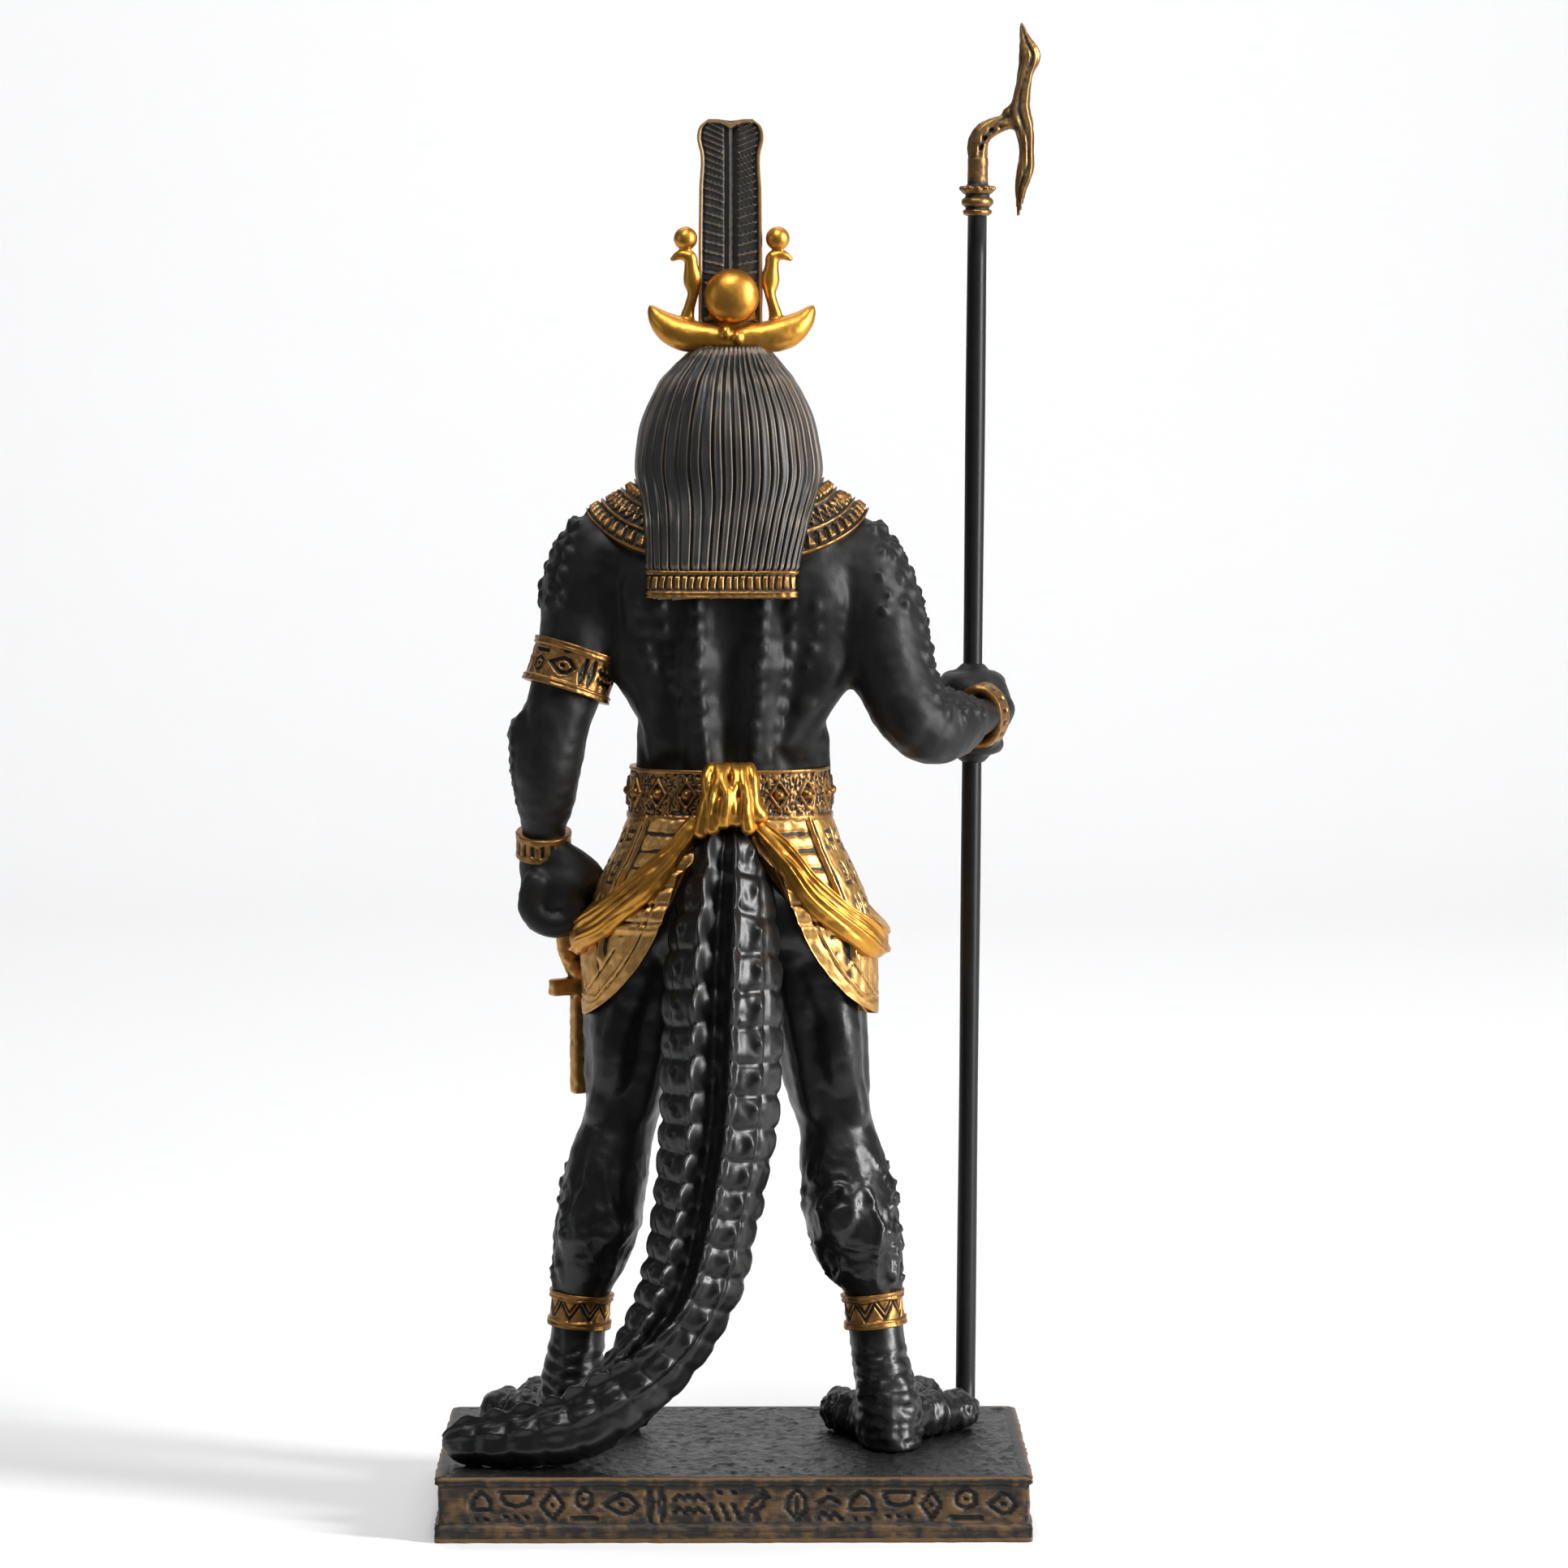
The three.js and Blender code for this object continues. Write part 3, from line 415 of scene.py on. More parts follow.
# Small pictures in a box one wide and one high, drawn in strokes, and none of them a letter: eye,
# bowl with crumbs, leaf, water, sun on the ground, loaf, bird, pair of reeds, seed, hills, rain
SIGNS = [
    [[(0, 0.5), (0.25, 0.78), (0.5, 0.84), (1, 0.5), (0.5, 0.2), (0.25, 0.24), (0, 0.5)],
     [(0.44, 0.52), (0.5, 0.52)]],
    [[(0, 0.9), (0.12, 0.56), (0.48, 0.44), (0.84, 0.56), (0.96, 0.9), (0, 0.9)],
     [(0.16, 0.12), (0.18, 0.14)], [(0.48, 0.12), (0.5, 0.14)], [(0.8, 0.12), (0.82, 0.14)]],
    [[(0.4, 0), (0.12, 0.36), (0.14, 0.7), (0.4, 1), (0.66, 0.7), (0.68, 0.36), (0.4, 0)],
     [(0.4, 0.22), (0.4, 0.72)]],
    [[(0, 0.66), (0.16, 0.8), (0.32, 0.66), (0.48, 0.8), (0.64, 0.66), (0.8, 0.8), (0.96, 0.66)],
     [(0, 0.26), (0.16, 0.4), (0.32, 0.26), (0.48, 0.4), (0.64, 0.26), (0.8, 0.4), (0.96, 0.26)]],
    [[(0.48, 1), (0.2, 0.84), (0.2, 0.52), (0.48, 0.36), (0.76, 0.52), (0.76, 0.84), (0.48, 1)],
     [(0.47, 0.68), (0.49, 0.68)], [(0, 0.08), (0.96, 0.08)]],
    [[(0, 0.34), (0.1, 0.7), (0.46, 0.92), (0.82, 0.7), (0.92, 0.34), (0, 0.34)],
     [(0.22, 0.06), (0.24, 0.06)], [(0.68, 0.06), (0.7, 0.06)]],
    [[(0, 0.76), (0.2, 0.94), (0.36, 0.74), (0.72, 0.6), (1, 0.26), (0.6, 0.32), (0.3, 0.44), (0.2, 0.7),
      (0, 0.76)],
     [(0.46, 0.38), (0.42, 0.02)], [(0.6, 0.36), (0.62, 0.02)]],
    [[(0.14, 0), (0.04, 0.6), (0.18, 1), (0.32, 0.6), (0.14, 0)],
     [(0.68, 0), (0.58, 0.6), (0.72, 1), (0.86, 0.6), (0.68, 0)]],
    [[(0.48, 0.96), (0.04, 0.5), (0.48, 0.04), (0.92, 0.5), (0.48, 0.96)], [(0.47, 0.5), (0.49, 0.5)]],
    [[(0, 0.06), (0.24, 0.24), (0.48, 0.06), (0.72, 0.24), (0.96, 0.06)],
     [(0.04, 0.56), (0.48, 0.74), (0.92, 0.56)], [(0.46, 0.98), (0.5, 0.98)]],
    [[(0.04, 0.06), (0.24, 0.5)], [(0.42, 0.06), (0.62, 0.5)], [(0.8, 0.06), (1, 0.5)],
     [(0.2, 0.88), (0.24, 0.9)], [(0.66, 0.88), (0.7, 0.9)]],
]


def sign_row(s, t, first, last, low, high, pitch, wide, seed=0):
    """A row of signs between two places along a band, each a little wider or narrower than the last"""
    marks = np.zeros(np.broadcast(s, t).shape)
    size = high - low
    x, k = first + 0.12 * pitch, 0
    while x + 0.8 * pitch < last:
        step = pitch * (1 + 0.22 * np.sin(2.4 * k + seed))
        here = (s > x - wide - 0.6) & (s < x + step)
        if here.any():
            for path in SIGNS[(4 * k + seed) % len(SIGNS)]:
                points = [(x + 0.8 * step * a, low + size * b) for a, b in path]
                marks[here] = np.maximum(marks[here], drawn(s[here], t[here], points, wide))
        x, k = x + step, k + 1
    return marks


# Paint and resin. A value of the shader takes plain sums.

class Value:
    """An output of a shader node"""

    def __init__(self, finish, socket):
        self.finish = finish
        self.socket = socket

    def __add__(self, other):
        return self.finish.sum("ADD", self, other)

    def __radd__(self, other):
        return self.finish.sum("ADD", other, self)

    def __sub__(self, other):
        return self.finish.sum("SUBTRACT", self, other)

    def __rsub__(self, other):
        return self.finish.sum("SUBTRACT", other, self)

    def __mul__(self, other):
        return self.finish.sum("MULTIPLY", self, other)

    def __rmul__(self, other):
        return self.finish.sum("MULTIPLY", other, self)


class Finish:
    """A material built on one Principled shader"""

    def __init__(self, name, **uniform):
        self.material = bpy.data.materials.new(name)
        self.material.use_nodes = True
        self.tree = self.material.node_tree
        self.shader = self.tree.nodes["Principled BSDF"]
        for socket, value in uniform.items():
            self.shader.inputs[socket.replace("_", " ")].default_value = value
        self.place = self.node("ShaderNodeTexCoord", {}, {}, "Object")

    def node(self, kind, settings, values, output=0):
        """Any node: its settings first, then the values or links of its sockets"""
        made = self.tree.nodes.new(kind)
        for key, value in settings.items():
            if key == "stops":
                for stop, (place, shade) in zip(made.color_ramp.elements, value):
                    stop.position = place
                    stop.color = (shade, shade, shade, 1)
            else:
                setattr(made, key, value)
        for key, value in values.items():
            if isinstance(value, Value):
                self.tree.links.new(value.socket, made.inputs[key])
            else:
                made.inputs[key].default_value = value
        return Value(self, made.outputs[output])

    def sum(self, operation, first, second):
        """A sum of two numbers or values"""
        return self.node("ShaderNodeMath", {"operation": operation}, {0: first, 1: second})

    def between(self, value, low, high):
        """0 to 1 as a value goes from low to high"""
        return self.node(
            "ShaderNodeMapRange", {"interpolation_type": "SMOOTHSTEP"},
            {"Value": value, "From Min": low, "From Max": high})

    def grain(self, size, detail=3.0, rough=0.55, place=None):
        """Noise with a grain of a size in mm, from 0 to 1"""
        return self.node(
            "ShaderNodeTexNoise", {},
            {"Vector": place or self.place, "Scale": 1 / (size * MM), "Detail": detail, "Roughness": rough})

    def mix(self, share, first, second):
        """A colour between two colours"""
        colours = [c if isinstance(c, Value) else (*c, 1) for c in (first, second)]
        return self.node(
            "ShaderNodeMix", {"data_type": "RGBA"},
            {"Factor": share, 6: colours[0], 7: colours[1]}, 2)

    def relief(self):
        """How far the skin stands proud of its surroundings, in mm"""
        return self.node("ShaderNodeAttribute", {"attribute_name": "relief"}, {}, "Fac")

    def coat(self, colour, rough, metal=None, bumps=()):
        """Joins colour, roughness, metal and fine bumps to the shader"""
        sockets = {"Base Color": colour, "Roughness": rough, "Metallic": metal}
        for key, value in sockets.items():
            if value is not None:
                self.tree.links.new(value.socket, self.shader.inputs[key])
        normal = None
        for height, strength, distance in bumps:
            values = {"Height": height, "Strength": strength, "Distance": distance * MM}
            if normal is not None:
                values["Normal"] = normal
            normal = self.node("ShaderNodeBump", {}, values)
        if normal is not None:
            self.tree.links.new(normal.socket, self.shader.inputs["Normal"])
        return self.material


def black_resin(name, polish, gloss):
    """Black cast resin, a little greyer where it is rubbed"""
    f = Finish(name, Specular_IOR_Level=gloss)
    patches = f.grain(9, 4)
    rub = f.between(f.relief() + (patches - 0.5) * 0.25, 0.05, 0.45)
    colour = f.mix(rub, (0.0042, 0.0042, 0.004), (0.0105, 0.0102, 0.0096))
    rough = polish + patches * 0.14 + f.grain(0.9, 2) * 0.06
    return f.coat(colour, rough, bumps=[(f.grain(0.45, 3), 0.2, 0.08), (f.grain(2.6, 2), 0.3, 0.18)])


def wig_resin():
    """Matt grey-black resin, its sharpest edges rubbed with bronze, and painted shade that darkens its
    grooves
    """
    f = Finish("rubbed dark resin with painted shade", Specular_IOR_Level=0.42)
    patches = f.grain(6, 4)
    edge = f.between(f.relief() + (patches - 0.5) * 0.12, 0.08, 0.18)
    # hollow is painted shade: the bare resin is mixed towards near black where it lies low in the grooves
    hollow = f.between(f.relief(), -0.06, -0.26)
    bare = f.mix(patches, (0.016, 0.0161, 0.0156), (0.031, 0.0304, 0.029))
    bare = f.mix(hollow, bare, (0.003, 0.003, 0.003))
    colour = f.mix(edge * 0.65, bare, (0.22, 0.17, 0.125))
    rough = 0.38 + patches * 0.12
    return f.coat(colour, rough, edge * 0.35, [(f.grain(0.5, 3), 0.3, 0.08)])


def bright_gold(name, polish):
    """Bright gold metallic paint, with painted shade that turns it dark brown in its hollows"""
    f = Finish(name, Specular_IOR_Level=0.5)
    patches = f.grain(4, 4)
    # hollow is painted shade: where the skin lies low, the gold turns dark brown, less metallic and rougher
    hollow = f.between(f.relief() + (patches - 0.5) * 0.12, 0.0, -0.3)
    colour = f.mix(patches, (0.5, 0.225, 0.03), (0.7, 0.345, 0.062))
    colour = f.mix(hollow * 0.9, colour, (0.06, 0.019, 0.004))
    rough = polish + f.grain(1.2, 3) * 0.14 + hollow * 0.15
    metal = 0.95 - hollow * 0.5
    return f.coat(colour, rough, metal, [(f.grain(0.35, 3), 0.25, 0.05), (f.grain(1.8, 2), 0.2, 0.05)])


def rubbed_plinth():
    """Black resin with a bronze rub dragged along the plinth's sides"""
    f = Finish("rubbed plinth resin", Specular_IOR_Level=0.35)
    stretched = f.node("ShaderNodeVectorMath", {"operation": "MULTIPLY"}, {0: f.place, 1: (0.13, 0.13, 1)})
    streaks = f.grain(0.9, 4, 0.6, stretched)
    patches = f.grain(12, 3)
    speck = f.grain(0.6, 4)
    wear = f.relief() + (streaks - 0.5) * 0.75 + (patches - 0.5) * 0.35 + (speck - 0.5) * 0.3
    rub = f.between(wear, -0.15, 0.5) * 0.58
    colour = f.mix(rub, (0.009, 0.008, 0.007), (0.22, 0.125, 0.052))
    return f.coat(colour, 0.4 + speck * 0.2, rub * 0.7, [(speck, 0.4, 0.15), (streaks, 0.4, 0.2)])


def old_gold(name, shine, lose, fleck=0.7):
    """Antique gold paint, worn through to black where it lies low and in flecks"""
    f = Finish(name, Specular_IOR_Level=0.4)
    patches = f.grain(3.2, 5, 0.65)
    speck = f.grain(0.7, 3)
    hollow = f.between(f.relief() + (patches - 0.5) * 0.34 + (speck - 0.5) * 0.2, lose, lose - 0.18)
    worn = f.between(f.grain(0.9, 5, 0.7) + (f.grain(6, 2) - 0.5) * 0.4, fleck, fleck + 0.05)
    bare = 1 - (1 - hollow) * (1 - worn)
    gold = f.mix(patches, tuple(0.5 * c for c in shine), shine)
    colour = f.mix(bare * 0.97, gold, (0.009, 0.0075, 0.0065))
    rough = 0.31 + speck * 0.18 + bare * 0.14
    return f.coat(colour, rough, 0.92 - bare * 0.9, [(speck, 0.35, 0.1), (f.grain(0.3, 2), 0.2, 0.05)])


def bronzed_resin(name, low, high, share):
    """Black resin that a bronze rub has caught on what stands proud"""
    f = Finish(name, Specular_IOR_Level=0.4)
    patches = f.grain(5, 6, 0.7)
    speck = f.grain(0.6, 4)
    rub = f.between(f.relief() + (patches - 0.5) * 0.5 + (speck - 0.5) * 0.4, low, high) * share
    colour = f.mix(rub, (0.025, 0.0238, 0.0222), (0.42, 0.24, 0.1))
    rough = 0.4 + speck * 0.18
    return f.coat(colour, rough, rub * 0.75, [(speck, 0.4, 0.15), (f.grain(0.35, 3), 0.3, 0.1)])


def stone_black():
    """The rough black top of the plinth"""
    f = Finish("stippled black resin", Specular_IOR_Level=0.32)
    speck = f.grain(1.1, 4, 0.6)
    colour = f.mix(speck, (0.004, 0.004, 0.004), (0.013, 0.0127, 0.0122))
    return f.coat(colour, 0.3 + speck * 0.2, bumps=[(speck, 0.8, 0.5), (f.grain(0.45, 3), 0.5, 0.2)])


def lacquer():
    """The shaft's satin black lacquer"""
    f = Finish("black lacquer", Specular_IOR_Level=0.24)
    streaks = f.grain(3, 3)
    colour = f.mix(streaks, (0.007, 0.0072, 0.0072), (0.012, 0.0122, 0.012))
    return f.coat(colour, 0.32 + streaks * 0.14, bumps=[(f.grain(0.8, 2), 0.15, 0.08)])


RESIN = black_resin("satin black resin", 0.25, 0.45)
MATT_RESIN = black_resin("matt black resin", 0.42, 0.32)
WIG_RESIN = wig_resin()
GOLD = bright_gold("bright gold paint", 0.27)
CROWN_GOLD = bright_gold("crown gold paint", 0.32)
OLD_GOLD = old_gold("antique gold paint", (0.38, 0.195, 0.06), 0.1, 0.67)
KILT_GOLD = old_gold("kilt gold paint", (0.74, 0.41, 0.13), 0.06, 0.67)
STAFF_GOLD = old_gold("sceptre gold paint", (0.36, 0.2, 0.07), 0.12, 0.64)
PLUME_BRONZE = bronzed_resin("plume bronze", 0.08, 0.32, 0.75)
PLINTH_BRONZE = rubbed_plinth()
PLINTH_TOP = stone_black()
SHAFT_LACQUER = lacquer()


# Trunk, arms and hands

# Height, middle, half width, front and back
TRUNK = [
    [94, 0.5, 15, -10, 10], [108, 0.5, 20, -13, 14], [122, 0.5, 19.4, -13, 13], [132, 0.4, 18, -11.5, 11],
    [140, 0.4, 17.4, -11, 10.5], [150, 0.4, 19, -12.5, 12], [159, 0.2, 22.8, -14, 13.6],
    [168, 0, 25.6, -15, 14.6], [177, 0.2, 26.4, -15, 14.6], [184, 0.6, 23, -12, 13], [190, 0.6, 14, -9, 10],
    [198, 0.6, 10, -8, 9]]
# Stations down each arm: place, half size across and half size from front to back
LEFT_ARM = [
    [22, 1, 183, 6, 8], [26.6, 1, 179.6, 8.6, 10], [28.8, 1.5, 173, 9.5, 10.2], [29.8, 2, 165, 8.9, 9.2],
    [32.5, 3, 156, 7.5, 8.2], [35.3, 4, 147, 6.8, 7.6], [37.3, 4, 139, 7.1, 7.6], [37.6, 2.6, 132, 6.1, 6.8],
    [38.2, 0, 124, 4.3, 5.2], [38.2, -1.6, 117, 4.5, 5.6]]
RIGHT_ARM = [
    [-22, 1, 182, 6, 8], [-25.4, 1, 178.6, 8, 9.8], [-27.6, 2, 172, 9.2, 10.2], [-29.6, 4, 164, 9.4, 9.4],
    [-32.2, 7.4, 155.8, 8.2, 8.4], [-35.2, 10.6, 148.6, 7.2, 7.8], [-39.2, 9.6, 145, 6.8, 7],
    [-43.4, 3.6, 145.4, 6.3, 6.8], [-46.6, -2.8, 146, 4.6, 5.7], [-50.4, -9.2, 146.6, 3.7, 5],
    [-52, -15, 147, 4.2, 5.6]]
# Where each band begins and ends, counted in stations down its limb
ARMLET, BRACELET, WRISTLET, ANKLET = (3.46, 4.4), (8.02, 8.7), (8.7, 9.4), (8.16, 9.14)
GRIP = np.array([-49.0, -24.0, 147.0])


def back_muscles(clay):
    """Spine furrow, columns beside it, shoulder blades, the broad muscles under the arms, and the chest"""
    spine = 0.6
    for side in (-1, 1):
        clay.put(bone((spine + side * 5, 8.4, 128), (spine + side * 6.4, 11.3, 158), 3.4, 3.6), 2.4)
        clay.put(bone((spine + side * 6.4, 11.3, 158), (spine + side * 6.8, 11.2, 176), 3.6, 3.4), 2.4)
        clay.put(bone((side * 21, 4.5, 172), (side * 18, 6, 158), 6.4, 5.6), 4)
        clay.put(bone((side * 18, 6, 158), (side * 13, 6, 144), 5.6, 3.6), 4)
        clay.put(ball((side * 15.5, 9.8, 172), (7.6, 5.2, 8.4)), 3)
        clay.put(bone((side * 6, 9.5, 186), (side * 20, 6.5, 180), 5, 4.4), 4)
        clay.put(bone((side * 14.6, 1.5, 142), (side * 15.4, 0.5, 130), 4.6), 3)
        clay.put(ball((side * 9.6, -11, 172), (10.4, 5.4, 7.6)), 2)
        for row, z in enumerate((160, 152.6, 145)):
            clay.put(ball((0.5 + side * 4.2, -10.4 + 0.5 * row, z), (4, 2.6, 3.5)), 1.2)
    # A fold of muscle from under each arm: down to the hip on the left, in to the spine on the right
    for armpit, ribs, end in (((21, 9.2, 158), (17, 9.2, 149.6), (15, 6, 139)),
                              ((-20.6, 9.4, 158), (-14.8, 9.9, 150.4), (-10.4, 9.6, 143))):
        clay.put(bone(armpit, ribs, 1.6, 1.5), 2)
        clay.put(bone(ribs, end, 1.5, 1.2), 2)
    clay.put(bone((0.7, 14.6, 126), (0.8, 17.2, 152), 3.5, 4.1), 2.2, take=True)
    clay.put(bone((0.8, 17.2, 152), (0.8, 18.6, 176), 4.1, 3.6), 2.2, take=True)
    # The crease between each arm and the back
    for side in (-1, 1):
        clay.put(bone((side * 24.6, 13.6, 186), (side * 23.2, 11.4, 166), 0.9, 0.7), 2, take=True)


def back_scales(clay):
    """Upright pointed scutes in three lines on each side of the spine"""
    starts, sizes = [], []
    heights = [170, 165.6, 161.5, 157.8, 153.9, 150, 146.3, 143, 140, 137.2]
    # Where each line begins and ends across the back, and how many scutes it has
    left = ((7.4, 5.2, 10), (14.2, 10, 6), (18.6, 16, 4))
    right = ((-5.8, -3.6, 10), (-11.6, -7.4, 9), (-16.8, -15, 4))
    for lines in (left, right):
        for column, (top, bottom, count) in enumerate(lines):
            for k, z in enumerate(heights[:count]):
                f = k / (count - 1)
                starts.append((top + (bottom - top) * f ** 1.6 + 0.25 * np.sin(2.3 * k + column), 30, z))
                sizes.append((1.1, 0.9, 0.85)[column] * (1 - 0.25 * f))
    for point, size in zip(clay.land(starts, (0, -1, 0)), sizes):
        clay.put(ball(point + (0, -0.35, 0), (1.0 * size, 1.3 * size, 1.8 * size)), 0.9)


def on_skin(clay, starts, heading):
    """The places where straight lines from the starts meet the clay; lines that miss it are dropped"""
    points = clay.land(starts, heading)
    return points[np.abs(clay.read(points)) < 0.2]


def shoulder_scales(clay):
    """Leaf-shaped scutes on the outer side of both shoulders, more of them on the right one"""
    for side, centre, angles, pitch in ((1, (27.6, 1.5), (-34, -12, 10, 32, 52), 4.0),
                                        (-1, (-26.6, 1.8), (-34, -12, 8, 28, 48, 70), 4.3)):
        starts, heading = [], []
        for column, angle in enumerate(angles):
            for k in range(6):
                z = 190 - pitch * k - 0.5 * pitch * (column % 2) + 0.7 * np.sin(5 * k + 3 * column)
                c, s = turned(angle + 4 * np.sin(3 * k + column))
                starts.append((centre[0] + side * 20 * c, centre[1] + 20 * s, z + 4))
                heading.append((-side * c, -s, -0.22))
        for k, point in enumerate(on_skin(clay, starts, heading)):
            if side * point[0] > 23 and point[2] > 164.5:
                grow = 0.85 + 0.25 * np.sin(7 * k)
                clay.put(ball(point, (1.1 * grow, 1.1 * grow, 1.5 * grow)), 0.7)


def forearm_scales(clay):
    """Small knobs down the outer edge of the left forearm, and over the upper side of the right one"""
    starts, heading = [], []
    for station in np.arange(4.75, 7.2, 0.33):
        for angle, shift in ((-12, 0), (16, 0.16)):
            c, s = turned(angle)
            starts.append(at(LEFT_ARM, station + shift)[:3] + np.array([16 * c, 16 * s, 0]))
            heading.append((-c, -s, 0))
    for point in on_skin(clay, starts, heading):
        clay.put(ball(point, (0.6, 0.7, 0.85)), 0.6)
    starts, heading = [], []
    for k in range(22):
        c, s = turned(-14 + 52 * ((k * 0.618) % 1))
        starts.append(at(RIGHT_ARM, 2.6 + 2.7 * k / 21)[:3] + np.array([-16 * c, 16 * s, 2]))
        heading.append((c, -s, -0.1))
    for k in range(28):
        station = 5.6 + 2.5 * (k / 28)
        ahead = at(RIGHT_ARM, station + 0.1)[:3] - at(RIGHT_ARM, station)[:3]
        side = np.cross((0, 0, 1.0), ahead)
        side /= np.linalg.norm(side) * (1 if side[1] > 0 else -1)
        c, s = turned(-20 + 95 * ((k * 0.618) % 1))
        out = c * np.array([0, 0, 1]) + s * side
        starts.append(at(RIGHT_ARM, station)[:3] + 15 * out)
        heading.append(-out)
    for k, point in enumerate(on_skin(clay, starts, heading)):
        grow = 0.8 + 0.25 * ((k * 0.414) % 1)
        clay.put(ball(point, (0.9 * grow, 0.9 * grow, 1.1 * grow)), 0.6)


def left_hand(clay):
    """A closed hand that points down, with its fingers curled in and the thumb's root against the kilt"""
    clay.limb([[38, -1.4, 119, 4.4, 5.6], [37.6, -1.4, 116.4, 5, 6.8], [36.6, -1.8, 112.6, 5.8, 8],
               [35.8, -2.4, 109.4, 4.6, 7]], blend=2)
    clay.put(ball((33, 1.4, 113.2), (4.8, 5.6, 4.8)), 2.5)
    for k in range(4):
        y = 4.6 - 4.2 * k
        low = 0.6 * (k in (1, 2))
        path = [(39.6, 114, 2.7), (40.6, 110, 2.7), (39.4, 107 - low, 2.7), (36.2, 105.6 - low, 2.7),
                (33.2, 106.6 - low, 2.6), (32.2, 109.4, 2.5), (34.4, 111.2, 2.2), (36.6, 109.6, 1.9)]
        clay.limb([[x, y, z, size, size] for x, z, size in path], (0.1, 1, 0.1), 0.8)
    clay.limb([[36.5, 0.8, 118.6, 4, 4.6], [33, 0.6, 116, 4.4, 5], [29.8, -0.4, 113.4, 3.8, 4.6],
               [28.4, -2, 110, 3.4, 4]], (0.3, 0.5, 1), 2.4)


def right_hand(clay):
    """A hand closed round the sceptre: a smooth broad back, and knuckles beyond the wrist"""
    x, y, _ = GRIP
    clay.limb([[-51.6, -13, 147, 4, 5.8], [-52.6, -17.4, 147, 3.8, 7.2], [-52.4, -21.6, 147, 3.4, 7.6]],
              (0, 0, 1), 1.5)
    clay.limb([[x, y, 139.4, 4, 4], [x, y, 147, 4.6, 4.6], [x, y, 153, 4, 4]], (0, 1, 0), 0.5)
    for k, size in enumerate((2.1, 2.4, 2.5, 2.4)):
        z = 140 + 4.1 * k
        path = []
        for angle in (95, 125, 160, 200, 250, 300, 345):
            c, s = turned(angle)
            knuckle = 0.5 * (angle in (160, 250, 300))
            bend = [x + (4.1 + knuckle) * c, y + (4.9 + knuckle) * s, z + 0.3 * np.sin(k + angle)]
            path.append([*bend, size, size])
        clay.limb(path, (0, 0, 1), 0.6)
    clay.limb([[x - 3, y + 7, 150.4, 3.2, 3.2], [x + 1.6, y + 6, 151.6, 3, 3],
               [x + 4.4, y + 2, 152, 2.6, 2.6], [x + 4.4, y - 3, 151.6, 2, 2]], (0.2, 0.4, 1), 0.9)
    clay.put(ball((x - 0.6, y + 4.6, 149.6), (6.8, 5.4, 5.6)), 1.6)


def arm_muscles(clay):
    """Upper arm, elbow and the two sides of the forearm, first on the left and then on the right"""
    clay.put(bone((31.4, 7.2, 164), (33.8, 7, 155), 4.6, 3.6), 2)
    clay.put(bone((30.4, -2.6, 164), (33.6, -1.4, 154), 4.8, 4), 2)
    clay.put(ball((37.4, 8.6, 147.6), (2.8, 2.6, 3.2)), 1.8)
    clay.put(bone((41, 3.6, 144), (40, 1.2, 130), 4.2, 2.6), 2)
    clay.put(bone((35, 5.6, 141), (35.6, 2.4, 128), 3.6, 2.2), 2)
    clay.put(bone((-30.6, 8.6, 166), (-33, 12, 155), 5, 3.8), 2)
    clay.put(bone((-30.2, -0.6, 163), (-35, 4, 153), 4.8, 4), 2.4)
    clay.put(ball((-35.4, 15.6, 145.4), (2.7, 2.7, 3)), 2)
    clay.put(bone((-39.6, 6.8, 150), (-45, -1.4, 149), 4, 2.2), 2)
    clay.put(bone((-38.6, 12.4, 143), (-45, 3, 142.2), 3.4, 2.6), 2)


def torso():
    """The trunk with both arms and hands, and the faint pleats that join the scutes of the back"""
    clay = Clay((-61, -34, 99), (49, 24, 200), 0.68)
    clay.put(stack(TRUNK, 119, 199))
    back_muscles(clay)
    clay.limb(LEFT_ARM, blend=3)
    clay.limb(RIGHT_ARM, blend=3)
    arm_muscles(clay)
    left_hand(clay)
    right_hand(clay)
    back_scales(clay)
    shoulder_scales(clay)
    forearm_scales(clay)
    points, faces = clay.skin()
    x, y, z = points.T
    pleats = 0.03 * np.cos(TAU * (z - 161.5) / 3.9)
    pleats = pleats * ease(8, 11, y) * ease(20, 17, np.abs(x)) * ease(2, 4, np.abs(x - 0.7))
    uneven = 0.16 * noise(points, 3.1) + 0.09 * noise(points, 1.5, 1)
    points = carved(points, faces, uneven + pleats * ease(134, 138, z))
    set_down("torso", (points, faces), MATT_RESIN)


# Legs and feet

# Stations down each leg, as for the arms
LEFT_LEG = [
    [13, 0, 109, 12, 12.5], [18, -1, 98, 11.6, 12.3], [20, -2, 88, 10.6, 10.6], [21.4, -2, 75, 8.8, 8.8],
    [23, -1, 65, 7.3, 7.8], [25.2, 1, 57, 8.1, 8.2], [27.2, 3, 46, 8.4, 9.1], [28.8, 3, 39, 7.2, 8],
    [30.5, 2.6, 32, 5.8, 6.2], [31.2, 2.4, 25, 5.5, 5.7], [32.2, 3, 17, 5.8, 6.6], [33.4, 3.6, 8, 6.4, 8],
    [33.6, 3.8, 0, 6.4, 8.6]]
RIGHT_LEG = [
    [-12, 0, 109, 12, 12.5], [-16, -1, 98, 11.6, 12.3], [-16.9, -2, 88, 9.7, 10.6], [-18.6, -2, 75, 8.8, 8.8],
    [-20.6, -1, 65, 7.4, 7.8], [-22, 1, 57, 8.3, 8.3], [-23.8, 3.4, 46, 9, 9.4], [-25.6, 3.4, 39, 7.6, 8.2],
    [-27.8, 3, 32, 5.6, 6.2], [-28.6, 3, 25, 5.5, 5.7], [-29.6, 4, 17, 5.6, 6.6], [-31.4, 5.2, 8, 6.4, 8],
    [-32, 5.6, 0, 6, 8.6]]
